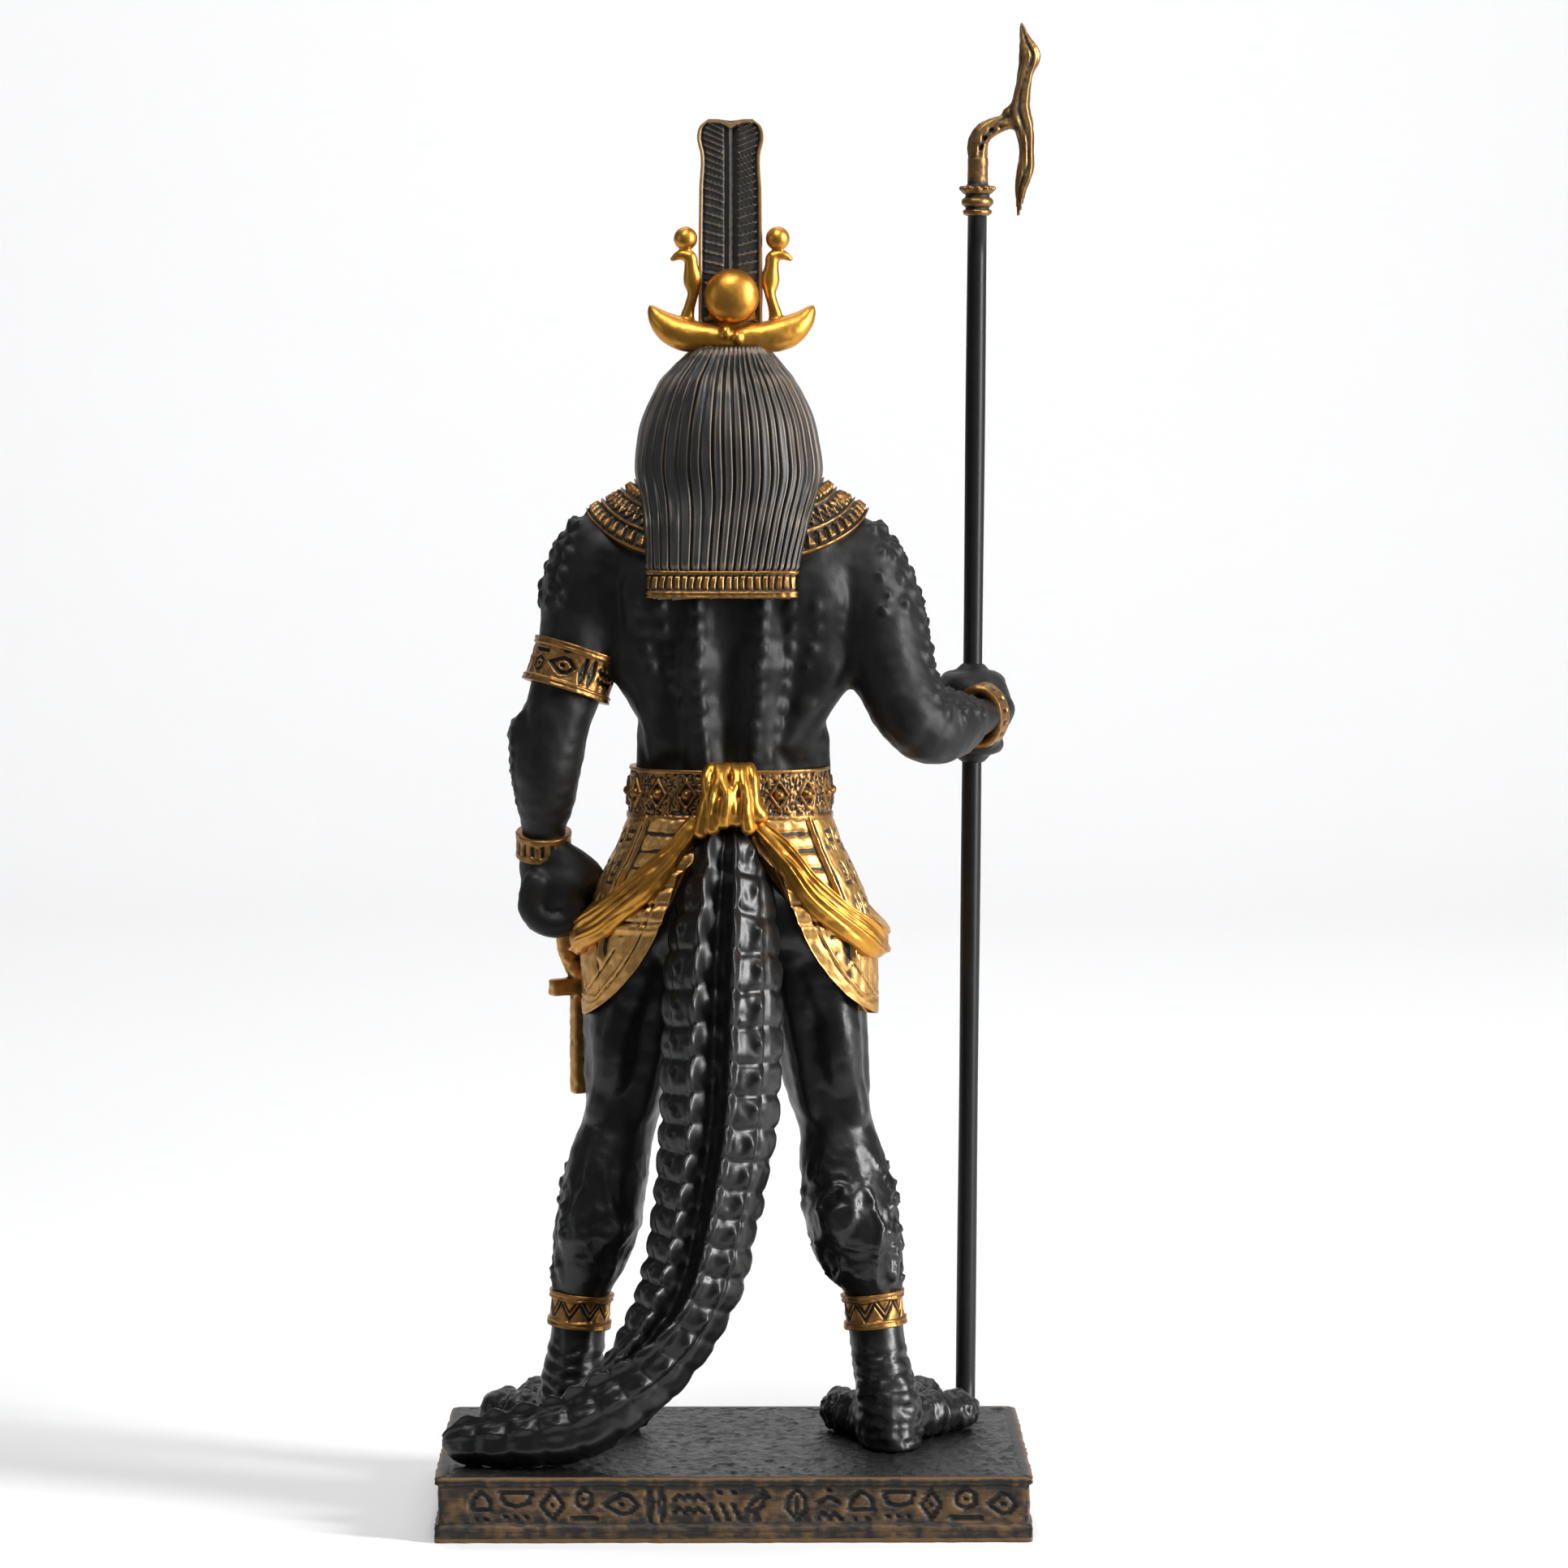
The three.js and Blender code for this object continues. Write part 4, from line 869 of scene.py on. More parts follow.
# On the plinth, first the left foot's and then the right one's
HEELS = [(32.6, 2.0), (-31.0, 3.0)]
TOE_TIPS = [[(48.2, -13.4), (41, -26.4), (21, -12)], [(-46.4, -12.6), (-38.8, -27), (-21.4, -12.4)]]
# Along each toe from the heel to the tip: where, and how thick
TOE_SIZES = [(0.05, 4.2), (0.3, 4.9), (0.46, 3.9), (0.64, 4.7), (0.78, 3.7), (0.93, 4.5), (1.02, 3.2)]


def leg_muscles(clay, leg, side):
    """Buttock, hamstrings, thigh, the two heads of the calf, kneecap and heel tendon"""
    def place(station, out, back):
        """A point beside the leg's middle at a station"""
        x, y, z, *_ = at(leg, station)
        return np.array([x + side * out, y + back, z])

    clay.put(ball((side * 9.5, 8.5, 107), (9.4, 7.4, 8.6)), 3)
    clay.put(bone(place(0.8, 1.8, 8.8), place(3.7, 4.6, 5.4), 4.2, 2.6), 2)
    clay.put(bone(place(0.8, -4.8, 6.8), place(3.6, -3.8, 5), 4, 2.6), 2)
    clay.put(bone(place(1, 6.4, 0), place(3.2, 4.8, 1), 4, 2.8), 2)
    clay.put(bone(place(1.2, 0, -7), place(3.4, 0.6, -5), 5.6, 4), 2.4)
    clay.put(bone(place(4.9, 2, 3.4), place(6.4, 2.8, 5.4), 1.8, 3.4), 4)
    clay.put(bone(place(4.9, -2.2, 3.4), place(6, -3, 5.6), 1.8, 3.4), 4)
    clay.put(ball(place(2.4, 3.4, 7), (4.4, 4.4, 11)), 2.5)
    clay.put(ball(place(4.1, 0.4, -6.6), (4, 3, 4.4)), 2)
    clay.put(bone(place(6.8, 0, 5.6), place(7.8, 0, 4.4), 1.8, 1.2), 2.4)


def foot(clay, heel, tips):
    """A broad heel and three thick toes, each with swollen knuckles and a blunt end"""
    clay.limb([[heel[0], heel[1] + 2.6, 4.4, 6.2, 4.8], [heel[0], heel[1] - 4, 6, 6.4, 6],
               [heel[0], heel[1] - 9, 5.4, 5.8, 5]], (0, 0, 1), 2)
    for tip in tips:
        line = np.array(tip) - heel
        rows = []
        for f, size in TOE_SIZES:
            x, y = np.array(heel) + f * line
            rows.append([x, y, 0.92 * size - 0.1, size, 0.92 * size])
        clay.limb(rows, (0, 0, 1), 1.2, 3)
        x, y = np.array(heel) + 1.06 * line
        ahead = np.array([*(line / np.linalg.norm(line)), 0])
        nail = np.array([x, y, 3.6])
        clay.put(bone(nail - 2.2 * ahead, nail + 2.4 * ahead - (0, 0, 1.8), 1.7, 0.5), 0.5)


def wrinkles(points):
    """Folds stacked down the ankles, veins on the calves and creases across the toes"""
    x, y, z = points.T
    heights = 0.13 * noise(points, 3) + 0.08 * noise(points, 1.4, 1)
    warped = points + 1.5 * np.stack([noise(points, 4.4, k) for k in (2, 3, 4)], -1)
    fold = np.abs(np.sin(np.pi * (warped[:, 2] + 0.12 * y) / 2.6))
    behind = ease(-6, 3, y)
    heights += 0.55 * (fold ** 0.7 - 0.62) * ease(21.6, 19.4, z) * ease(0.6, 3, z) * (0.35 + 0.65 * behind)
    calf = ease(31, 35, z) * ease(64, 50, z) * np.where(x > 0, 0.4, 1)
    veins = 0.8 * hill(noise(warped * (1, 1, 0.36), 3.4, 5), 0.2) + 0.35 * hill(noise(warped, 2.4, 6), 0.16)
    heights += calf * veins
    for heel, side in zip(HEELS, (1, -1)):
        near = (side * x > 0) & (y < heel[1] - 3.4)
        away = np.hypot(x - heel[0], y - heel[1])
        crease = np.abs(np.sin(np.pi * (away + 0.8 * noise(points, 4, 7)) / 2.5)) ** 0.6 - 0.6
        lump = 0.45 * hill(noise(points, 2.3, 8), 0.22)
        heights += near * ease(15, 10, z) * ease(6, 9, away) * (0.5 * crease + lump)
    rough = ease(19, 10, z) * ease(0.3, 1.5, z)
    return heights + 0.45 * rough * noise(points, 1.8, 9)


def legs():
    """The hips, legs and feet, with small knobs on the outer sides of the calves"""
    clay = Clay((-55, -34, -0.4), (56, 19, 122), 0.73)
    clay.put(stack(TRUNK, 99, 121))
    both = ((LEFT_LEG, 1), (RIGHT_LEG, -1))
    for (leg, side), heel, tips in zip(both, HEELS, TOE_TIPS):
        clay.limb(leg, blend=2.5)
        leg_muscles(clay, leg, side)
        foot(clay, heel, tips)
    starts, heading = [], []
    for leg, side in both:
        for k in range(26):
            station = 5 + 3.1 * ((k * 0.618) % 1)
            c, s = turned(-50 + 100 * ((k * 0.414) % 1))
            starts.append(at(leg, station)[:3] + 14 * np.array([side * c, s, 0]))
            heading.append((-side * c, -s, 0))
    for point in clay.land(starts, heading):
        clay.put(ball(point, (0.95, 0.95, 1.1)), 0.5)
    points, faces = clay.skin()
    points = carved(points, faces, wrinkles(points) * ease(-0.35, 0.3, points[:, 2]))
    set_down("legs", (points, faces), RESIN)


# Tail

TAIL_PATH = [
    [0.8, 7, 130], [1.3, 13, 117], [2, 17.4, 100], [2.3, 19.4, 82], [3.2, 20.4, 65], [5.6, 21, 49],
    [9.4, 22.2, 33], [18, 24.4, 18.4], [30, 27.4, 8.4], [42, 27.2, 5.4], [51, 25.4, 4.4], [57.6, 23.6, 3.9]]
# Share of the length, half size across and half size through
TAIL_GIRTH = [
    [0, 4.6, 5], [0.08, 7.8, 7.8], [0.15, 10, 8.8], [0.22, 11.3, 9.4], [0.33, 11.5, 9.8], [0.43, 10.8, 9.7],
    [0.5, 10.1, 9.4], [0.6, 9.6, 9], [0.7, 8.2, 8.2], [0.76, 7.4, 7.4], [0.86, 6.6, 6.4], [0.93, 5.3, 5],
    [1, 4.2, 4]]
# Share of the length, and how long a plate is there
PLATE_PITCH = [[0, 7.8], [0.15, 7.7], [0.3, 6.7], [0.5, 5.7], [0.72, 5.8], [1, 6.6]]


def evenly(path, count):
    """Points at even lengths along a smooth path, and where they are on it"""
    fine = fair(path, 60)
    run = np.concatenate([[0], np.cumsum(np.linalg.norm(np.diff(fine, axis=0), axis=1))])
    length = np.linspace(0, run[-1], count)
    return np.stack([np.interp(length, run, fine[:, k]) for k in range(3)], -1), length


def headings(path):
    """The way a path runs at each of its points"""
    along = np.gradient(path, axis=0)
    return along / np.linalg.norm(along, axis=1, keepdims=True)


def running_mean(values, reach):
    """Each value averaged with so many on either side of it"""
    count = 2 * reach + 1
    return np.convolve(np.pad(values, reach, mode="edge"), np.ones(count) / count, "valid")


def tail():
    """The tail: two rows of crests that run together lower down, a furrow, plates, knobs and belly lines"""
    rings = 330
    path, length = evenly(TAIL_PATH, rings)
    u = length / length[-1]
    blunt_end = np.sqrt(1 - 0.9 * np.clip((u - 0.965) / 0.035, 0, 1) ** 2)
    girth = np.array(TAIL_GIRTH)
    across, deep = (running_mean(np.interp(u, girth[:, 0], girth[:, k]), 8) * blunt_end for k in (1, 2))
    # It stands on edge at first, and lies on its side on the plinth
    lie = ease(0.55, 0.95, u)
    up = np.stack([0.35 * lie, 1 - 0.75 * lie, lie], -1)
    along = headings(path)
    up -= np.sum(up * along, 1, keepdims=True) * along
    up /= np.linalg.norm(up, axis=1, keepdims=True)
    side = np.cross(up, along)
    angle = np.concatenate([
        np.linspace(-90, 40, 28, endpoint=False), np.linspace(40, 150, 76, endpoint=False),
        np.linspace(150, 270, 26, endpoint=False)])
    c, s = turned(angle)
    base = (path[:, None] + side[:, None] * (across[:, None] * c)[..., None]
            + up[:, None] * (deep[:, None] * s)[..., None])
    # Lower down the two crests run together into one
    merge = ease(0.6, 0.8, u)[:, None]
    # The furrow looks a little to the left of straight back, and more so lower down
    twist = np.interp(u, [0, 0.2, 0.4, 0.6, 0.9], [8, 8, 10, 14, 0])[:, None]
    # Degrees from the furrow and from the ridge of the back, and from 0 to 1 along each plate
    off = np.abs(angle[None, :] - 90 - twist)
    flank = np.abs(angle[None, :] - 90)
    grow = 0.5 + 0.5 * (across / 12)[:, None]
    pitch = np.interp(u, *np.array(PLATE_PITCH).T)
    beat = np.cumsum(np.gradient(length) / pitch)[:, None] + 0.09 * noise(base, 9) - 0.1 * (off > 24)
    beat = beat % 1
    edge = np.minimum(beat, 1 - beat) * pitch[:, None]
    swell = np.sin(np.pi * beat)
    spread = 17 * (1 - merge)
    crest = (0.7 + 1.9 * swell ** 1.4) * hill(off - spread, 4) + 0.6 * hill(off - spread - 4, 6)
    furrow = (0.6 * swell - 2.3) * hill(off, 9.5) * (1 - merge)
    plate = swell ** 0.6 * ease(19, 30, off) * ease(60, 48, off)
    dip = -0.25 * swell ** 2 * hill(off - 36, 7)
    line = -0.35 * hill(off - 58, 3)
    knob = hill((beat - 0.42) * pitch[:, None], 1.05) * hill(off - 47, 4.8)
    cut = -0.38 * hill(edge, 0.85) * ease(18, 25, off) * ease(100, 90, flank)
    rim = (0.4 + 0.55 * swell ** 0.8) * hill(flank - 88, 12)
    belly = -0.3 * hill(edge, 0.5) * ease(104, 118, flank)
    soften = 1 - 0.45 * merge
    heights = crest + furrow + soften * (0.6 * plate + dip + line + 0.8 * knob + cut) + 0.95 * rim + belly
    heights *= grow * ease(0, 0.1, u)[:, None] * (1 - 0.7 * ease(0.94, 1, u))[:, None]
    heights += (0.28 * noise(base, 3.4, 2) + 0.16 * noise(base, 1.5, 3)) * (1 - ease(0.96, 1, u))[:, None]
    points, faces = carved_tube(base, heights)
    points[:, 2] = np.maximum(points[:, 2], -0.35)
    set_down("tail", (points, faces), RESIN)


# Wig and its hem

# The dome: height, middle, half width, front and back
WIG = [
    [183, 0.6, 16, -10, 14], [195, 0.9, 18.8, -13.6, 17.6], [203, 1, 18.2, -14, 18],
    [208.5, 1, 16.7, -12.8, 16.8], [214, 1, 13.9, -10.4, 14.4], [217, 0.9, 11.4, -8.6, 12],
    [221, 0.5, 7.9, -6, 8.6]]
# The flap behind the neck: height, middle, half width, back, and how far its edges curl forward
FLAP = [
    [172.2, 2.25, 15, 21.3, 3], [177.3, 2.2, 15.2, 20.4, 3.6], [187, 1.3, 16.6, 19, 6.6],
    [197, 0.6, 18.6, 18, 10]]
FLAP_THICK = 5
# The corners of the wig's level outline are a little squarer than an ellipse's
WIG_POWER = 0.94
# The grooves between the locks, from the right edge to the left: share of the half width, and depth
LOCKS = np.array([
    (-0.95, 0.8), (-0.88, 1), (-0.8, 0.9), (-0.72, 1), (-0.63, 1), (-0.53, 1), (-0.44, 0.9), (-0.33, 1),
    (-0.23, 0.9), (-0.14, 1), (-0.045, 0.9), (0.05, 1), (0.15, 1), (0.27, 0.5), (0.39, 1), (0.53, 0.5),
    (0.67, 1), (0.78, 0.5), (0.89, 0.9), (0.95, 0.7)])
# Where points lie from one groove to the next, gathered near the grooves
LOCK_POINTS = np.array([0.05, 0.1, 0.16, 0.24, 0.38, 0.5, 0.62, 0.76, 0.84, 0.9, 0.95, 1.0])


def wig_row(z):
    """Middle, half width, back, how far the edges curl forward, and the front, at a height"""
    middle, half, front, back = keyed(WIG, np.maximum(z, 183))
    flap = keyed(FLAP, np.minimum(z, 197))
    f = ease(186, 200, z)
    return (*(low + f * (high - low) for low, high in zip(flap, (middle, half, back, back))), front)


def wig_angles():
    """Angles round the back of the wig, gathered at the grooves between locks, with groove places"""
    grooves = np.arcsin(LOCKS[:, 0])
    places = [-np.pi / 2, *grooves, np.pi / 2]
    locks = [a + (b - a) * LOCK_POINTS for a, b in zip(places[:-1], places[1:])]
    return np.concatenate([places[:1], *locks]), grooves


def wig():
    """The dome and the flap of the wig, with a wandering groove on each side of every lock"""
    angles, grooves = wig_angles()
    heights = np.concatenate([
        np.linspace(172.2, 183, 20), np.linspace(183.6, 213.6, 46), np.linspace(214.4, 221.2, 13)])
    front_angles = np.linspace(np.pi / 2, 1.5 * np.pi, 44)[1:-1]
    rings, widths = [], []
    for z in heights:
        middle, half, back, curl, front = wig_row(z)
        widths.append([half])
        tuck = 0.7 * ease(177.6, 176.9, z)
        drift = 0.005 * np.sin(0.09 * z + 5 * angles) + 0.002 * np.sin(0.31 * z + 9 * angles)
        a = angles + drift * np.cos(angles)
        x = middle + (half - tuck) * soft(np.sin(a), WIG_POWER)
        y = back - curl + (curl - tuck) * soft(np.cos(a), WIG_POWER)
        c, s = np.cos(front_angles), np.sin(front_angles)
        if z < 183.2:
            inner_y = back - curl + (curl - FLAP_THICK) * np.abs(c) - 0.6
        else:
            inner_y = front * soft(np.abs(c), WIG_POWER)
        inner_x = middle + (half - tuck) * 0.99 * soft(s, WIG_POWER)
        ring = np.concatenate([np.stack([x, y], -1), np.stack([inner_x, inner_y], -1)])
        rings.append(np.column_stack([ring, np.full(len(ring), z)]))
    grid = np.array(rings)
    count = len(angles)
    cut = np.zeros(grid.shape[:2])
    for k, (groove, depth) in enumerate(zip(grooves, LOCKS[:, 1])):
        gap = (angles - groove)[None, :] * np.array(widths) * (0.35 + 0.65 * np.cos(groove))
        strength = depth * (1 + 0.25 * np.sin(0.23 * heights[:, None] + 2 * k))
        lips = 0.15 * hill(gap - 0.4, 0.11) + 0.2 * hill(gap + 0.4, 0.11)
        cut[:, :count] += strength * (lips - 0.75 * hill(gap, 0.24))
    wave = np.abs(np.sin(9 * np.linspace(0, TAU, len(front_angles))))[None, :]
    cut[:, count:] = -0.5 * (1 - wave ** 0.5) * (heights[:, None] > 184)
    cut[:, :count] *= ease(221.5, 217, heights)[:, None] * 0.75 + 0.25
    hair = grid[:, :count]
    cut[:, :count] += 0.1 * noise(hair * (1, 1, 0.08), 1.1, 4) + 0.12 * noise(hair, 6, 5)
    set_down("wig", carved_tube(grid, cut), WIG_RESIN)
    lappet(1, "wig_lappet_left")
    lappet(-1, "wig_lappet_right")


def lappet(side, name):
    """One of the two locks of the wig that hang in front of the shoulders"""
    z = np.linspace(166, 192, 50)
    middle, half, face = keyed([[166, 13, 5.2, -20.2], [178, 13.4, 5.6, -19], [192, 13.6, 5.4, -13.8]], z)
    angle = np.linspace(0, TAU, 62, endpoint=False)
    c, s = np.cos(angle), np.sin(angle)
    groove = -0.35 * (1 - np.abs(np.sin(6 * angle)) ** 0.5)
    hem = 0.5 * ((z < 170.4) & (z > 166.6)) - 0.4 * hill(z - 168.5, 0.5)
    grid = np.stack([
        side * middle[:, None] + half[:, None] * soft(c, 0.7)[None, :],
        face[:, None] + 2.6 - 2.6 * soft(s, 0.7)[None, :],
        np.broadcast_to(z[:, None], (len(z), len(angle)))], -1)
    cut = groove[None, :] * (z > 171)[:, None] + hem[:, None]
    set_down(name, carved_tube(grid, cut), WIG_RESIN, rounds=5)


def strip(outer, depth, inner_rows, ring):
    """Closes an outer face, columns by rows of points, into a strip with a plain back"""
    columns, rows = outer.shape[:2]
    flat = outer.reshape(-1, 3)
    out = normals(flat, [net(columns, rows, ring_columns=ring)]).reshape(outer.shape)
    if np.sum(out[..., :2] * (outer - flat.mean(0))[..., :2]) < 0:
        out = -out
    pick = np.linspace(0, rows - 1, inner_rows).astype(int)[::-1]
    back = outer[:, pick] - depth * out[:, pick]
    loop = np.concatenate([outer, back], 1)
    shell = hooped(loop) if ring else capped(loop)
    return shell, out, loop.shape


def ornament(name, outer, heights, depth, ground, paint=None, ring=False, inner_rows=2):
    """A carved strip of gold: its face stands out by heights, and the paint is lost below the ground"""
    (points, faces), out, shape = strip(outer, depth, inner_rows, ring)
    rows = outer.shape[1]
    count = shape[0] * shape[1]
    grid = points[:count].reshape(*shape[:2], 3)
    grid[:, :rows] += out * heights[..., None]
    points[:count] = grid.reshape(-1, 3)
    proud = np.zeros(len(points))
    proud[:count].reshape(shape[:2])[:, :rows] = heights - ground
    finish, slot = paint or (OLD_GOLD, "old_gold_paint")
    set_down(name, (points, faces), finish, proud=proud)


def lengths(outer):
    """How far each point of a strip lies along it and across it, in mm"""
    s = np.cumsum(np.linalg.norm(np.diff(outer, axis=0, prepend=outer[:1]), axis=2), axis=0)
    t = np.cumsum(np.linalg.norm(np.diff(outer, axis=1, prepend=outer[:, :1]), axis=2), axis=1)
    return s, t


def level_grid(x, y, z):
    """Points of a strip whose rows each lie at one height"""
    return np.stack([x, y, np.broadcast_to(z, np.broadcast_shapes(x.shape, y.shape))], -1)


def wig_hem():
    """The gold band at the bottom of the wig: two rails with upright bars between them"""
    a = np.linspace(-0.5 * np.pi, 0.5 * np.pi, 330)
    z = np.linspace(171.9, 177.1, 21)
    middle, half, back, curl, _ = wig_row(z)
    outer = level_grid(
        middle + (half - 0.65) * soft(np.sin(a), WIG_POWER)[:, None],
        back - curl + (curl - 0.6) * soft(np.cos(a), WIG_POWER)[:, None], z)
    s, t = lengths(outer)
    height = t.max()
    rails = np.maximum(1 - ease(1.1, 1.5, t), ease(height - 0.95, height - 0.65, t))
    lines = hill(t - 0.55, 0.12) * 0.2
    beat = (s + 0.2 * noise(outer, 2)) % 1.45
    bars = ease(0.2, 0.4, beat) * ease(1.35, 1.15, beat)
    bars = bars * ease(1.5, 1.8, t) * ease(height - 1, height - 1.3, t)
    bars *= 0.8 + 0.2 * noise(outer, 1.6, 3)
    heights = 0.1 + 0.62 * np.maximum(rails, 0.8 * bars) - lines + 0.1 * noise(outer, 0.9, 1)
    ornament("wig_hem", outer, heights, 1.4, ground=0.3)


# Collar

# Height, middle, half width, front and back, from the neck outwards
COLLAR = [
    [198, 0.6, 14, -10, 11], [193.6, 0.6, 20, -15, 13.6], [190.6, 0.8, 25.2, -18.6, 15.4],
    [188.6, 1.2, 28.3, -21, 17]]


def collar():
    """A broad collar: rows of beads, triangles and drops between rails"""
    wide, around = 15.5, 170
    angle = np.linspace(0, TAU, 540, endpoint=False)
    z, middle, half, front, back = at(COLLAR, np.linspace(0, 3, 46)).T
    c, s = soft(np.cos(angle), 0.85), soft(np.sin(angle), 0.85)
    deep = np.where(s[:, None] > 0, back, -front)
    sink = (np.where(s > 0, 10.5, 14) * np.abs(np.sin(angle)) ** 1.4)[:, None] * np.minimum(1, (198 - z) / 10)
    outer = np.stack([middle + half * c[:, None], deep * s[:, None], z - sink], -1)
    outer = outer[:, ::-1]
    _, t = lengths(outer)
    t = t / t.max(axis=1, keepdims=True) * wide
    s = (angle / TAU)[:, None] * around + 0 * t

    def between(low, high):
        """1 on a row of the collar, which lies between two distances from its rim"""
        return ease(low, low + 0.2, t) * ease(high, high - 0.2, t)

    rails = between(0, 0.5) + between(3.1, 3.8) + between(6.9, 7.6) + between(9.9, 10.5) + between(12.9, 13.4)
    drop = np.abs((s % 3) - 1.5)
    drops = ease(0.12, -0.12, drop - 1.25 * (3.1 - t) / 2.5) * between(0.7, 3.1)
    wave = np.abs((s % 3) - 1.5) / 1.5
    zigzag = hill((t - 4.1 - 2.4 * wave) * 0.72, 0.26) * between(3.8, 6.9)
    bead = np.hypot((s % 2.4) - 1.2, t - 8.75)
    beads = ease(0.95, 0.75, bead) - 0.5 * ease(0.45, 0.3, bead)
    inner = ease(0.2, 0.4, s % 1.7) * ease(1.6, 1.3, s % 1.7) * (between(10.7, 12.7) + between(13.6, 15.2))
    form = np.clip(rails + drops + zigzag + beads + inner, 0, 1.1)
    heights = -0.4 + 1.05 * form + 0.12 * noise(outer, 1.1) + 0.15 * noise(outer, 3, 1)
    ornament("collar", outer, heights, 2.2, 0.36, ring=True, inner_rows=3)


# Belt, kilt, apron and sash

# Height, middle, half width, front and back
KILT = [
    [87.5, 0.6, 29.1, -19, 17], [96, 0.8, 29.3, -19.4, 18], [104, 0.9, 29.2, -19, 18.4],
    [113, 0.9, 26.6, -17.4, 17.4], [121, 0.7, 22.7, -15.4, 15.6], [128, 0.7, 20, -14, 14]]
KILT_LOW = 87.5
# The outlines of kilt and belt are squarer than an ellipse
WAIST_POWER = 0.85
# How many mm a degree takes up on the kilt behind
DEGREE = 0.42
BELT_LOW, BELT_HIGH = 127.0, 137.2
BELT_GEMS = 18


def kilt_at(angle, z, off):
    """Points on the kilt at angles in degrees from +X and heights, a little off it"""
    middle, half, front, back = keyed(KILT, z)
    c, s = (soft(v, WAIST_POWER) for v in turned(angle))
    deep = np.where(s > 0, back, -front)
    return np.stack(np.broadcast_arrays(middle + (half + off) * c, (deep + off) * s, z), -1)


def belt():
    """A hammered belt with framed lozenges, each round a domed stud"""
    columns = 600
    angle = np.linspace(0, TAU, columns, endpoint=False)
    z = np.linspace(BELT_LOW, BELT_HIGH, 42)
    f = (z - BELT_LOW) / (BELT_HIGH - BELT_LOW)
    c, s = (soft(v, WAIST_POWER)[:, None] for v in (np.cos(angle), np.sin(angle)))
    bulge = 0.3 * np.sin(np.pi * f)
    outer = level_grid(0.7 + (20 - 0.6 * f + bulge) * c, (14 + bulge) * s, z)
    s, t = lengths(outer)
    around = s[-1, 0] * (columns + 1) / columns
    s = s[:, :1] + 0 * s
    t = (z - BELT_LOW)[None, :] + 0 * t
    rails = ease(1.3, 0.9, t) + ease(9.4, 9.7, t)
    hammered = ease(0.08, 0.4, np.abs(noise(outer, 0.62, 1)) + 0.4 * np.abs(noise(outer, 0.9, 2)))
    heights = 0.02 + 0.42 * hammered * (1 - np.clip(rails, 0, 1)) + 0.75 * rails
    pitch = around / BELT_GEMS
    x, y = (s + 0.4 * pitch) % pitch - pitch / 2, t - 5.3
    lozenge = np.abs(x) / 2.15 + np.abs(y) / 3.2
    heights = np.where(lozenge < 1.12, 0.1 + 0.85 * hill(lozenge - 0.86, 0.16), heights)
    stud, stud_size = np.hypot(x, y), 1.15
    dome = 1.5 * np.sqrt(np.clip(1 - (stud / stud_size) ** 2, 0, 1)) * (stud < stud_size)
    heights = np.maximum(heights, dome) + 0.05 * noise(outer, 0.8, 2)
    ornament("belt", outer, heights, 1.6, 0.36, ring=True)


# The curve of each wing's edge behind: its corner, a point it bends towards, and its upper end
LEFT_WING = ((29.2, 87.4), (16, 97), (11, 116))
RIGHT_WING = ((-28.3, 87.4), (-15, 96), (-9.5, 116))


def wing_edge(z, side):
    """The angle from +X at which the kilt's wing ends behind, at a height"""
    corner, start, end = LEFT_WING if side > 0 else RIGHT_WING
    k = np.linspace(0, 1, 60)
    x = (1 - k) ** 2 * corner[0] + 2 * k * (1 - k) * start[0] + k * k * end[0]
    h = (1 - k) ** 2 * corner[1] + 2 * k * (1 - k) * start[1] + k * k * end[1]
    x = np.interp(z, [*h, 124, 128], [*x, 2.5 * side + 0.5, 0.6 + 0.4 * side])
    middle, half, _, _ = keyed(KILT, z)
    share = np.clip(np.abs(x - middle) / half, 0, 0.999) ** (1 / WAIST_POWER)
    angle = np.degrees(np.arccos(share))
    return angle if side > 0 else 180 - angle


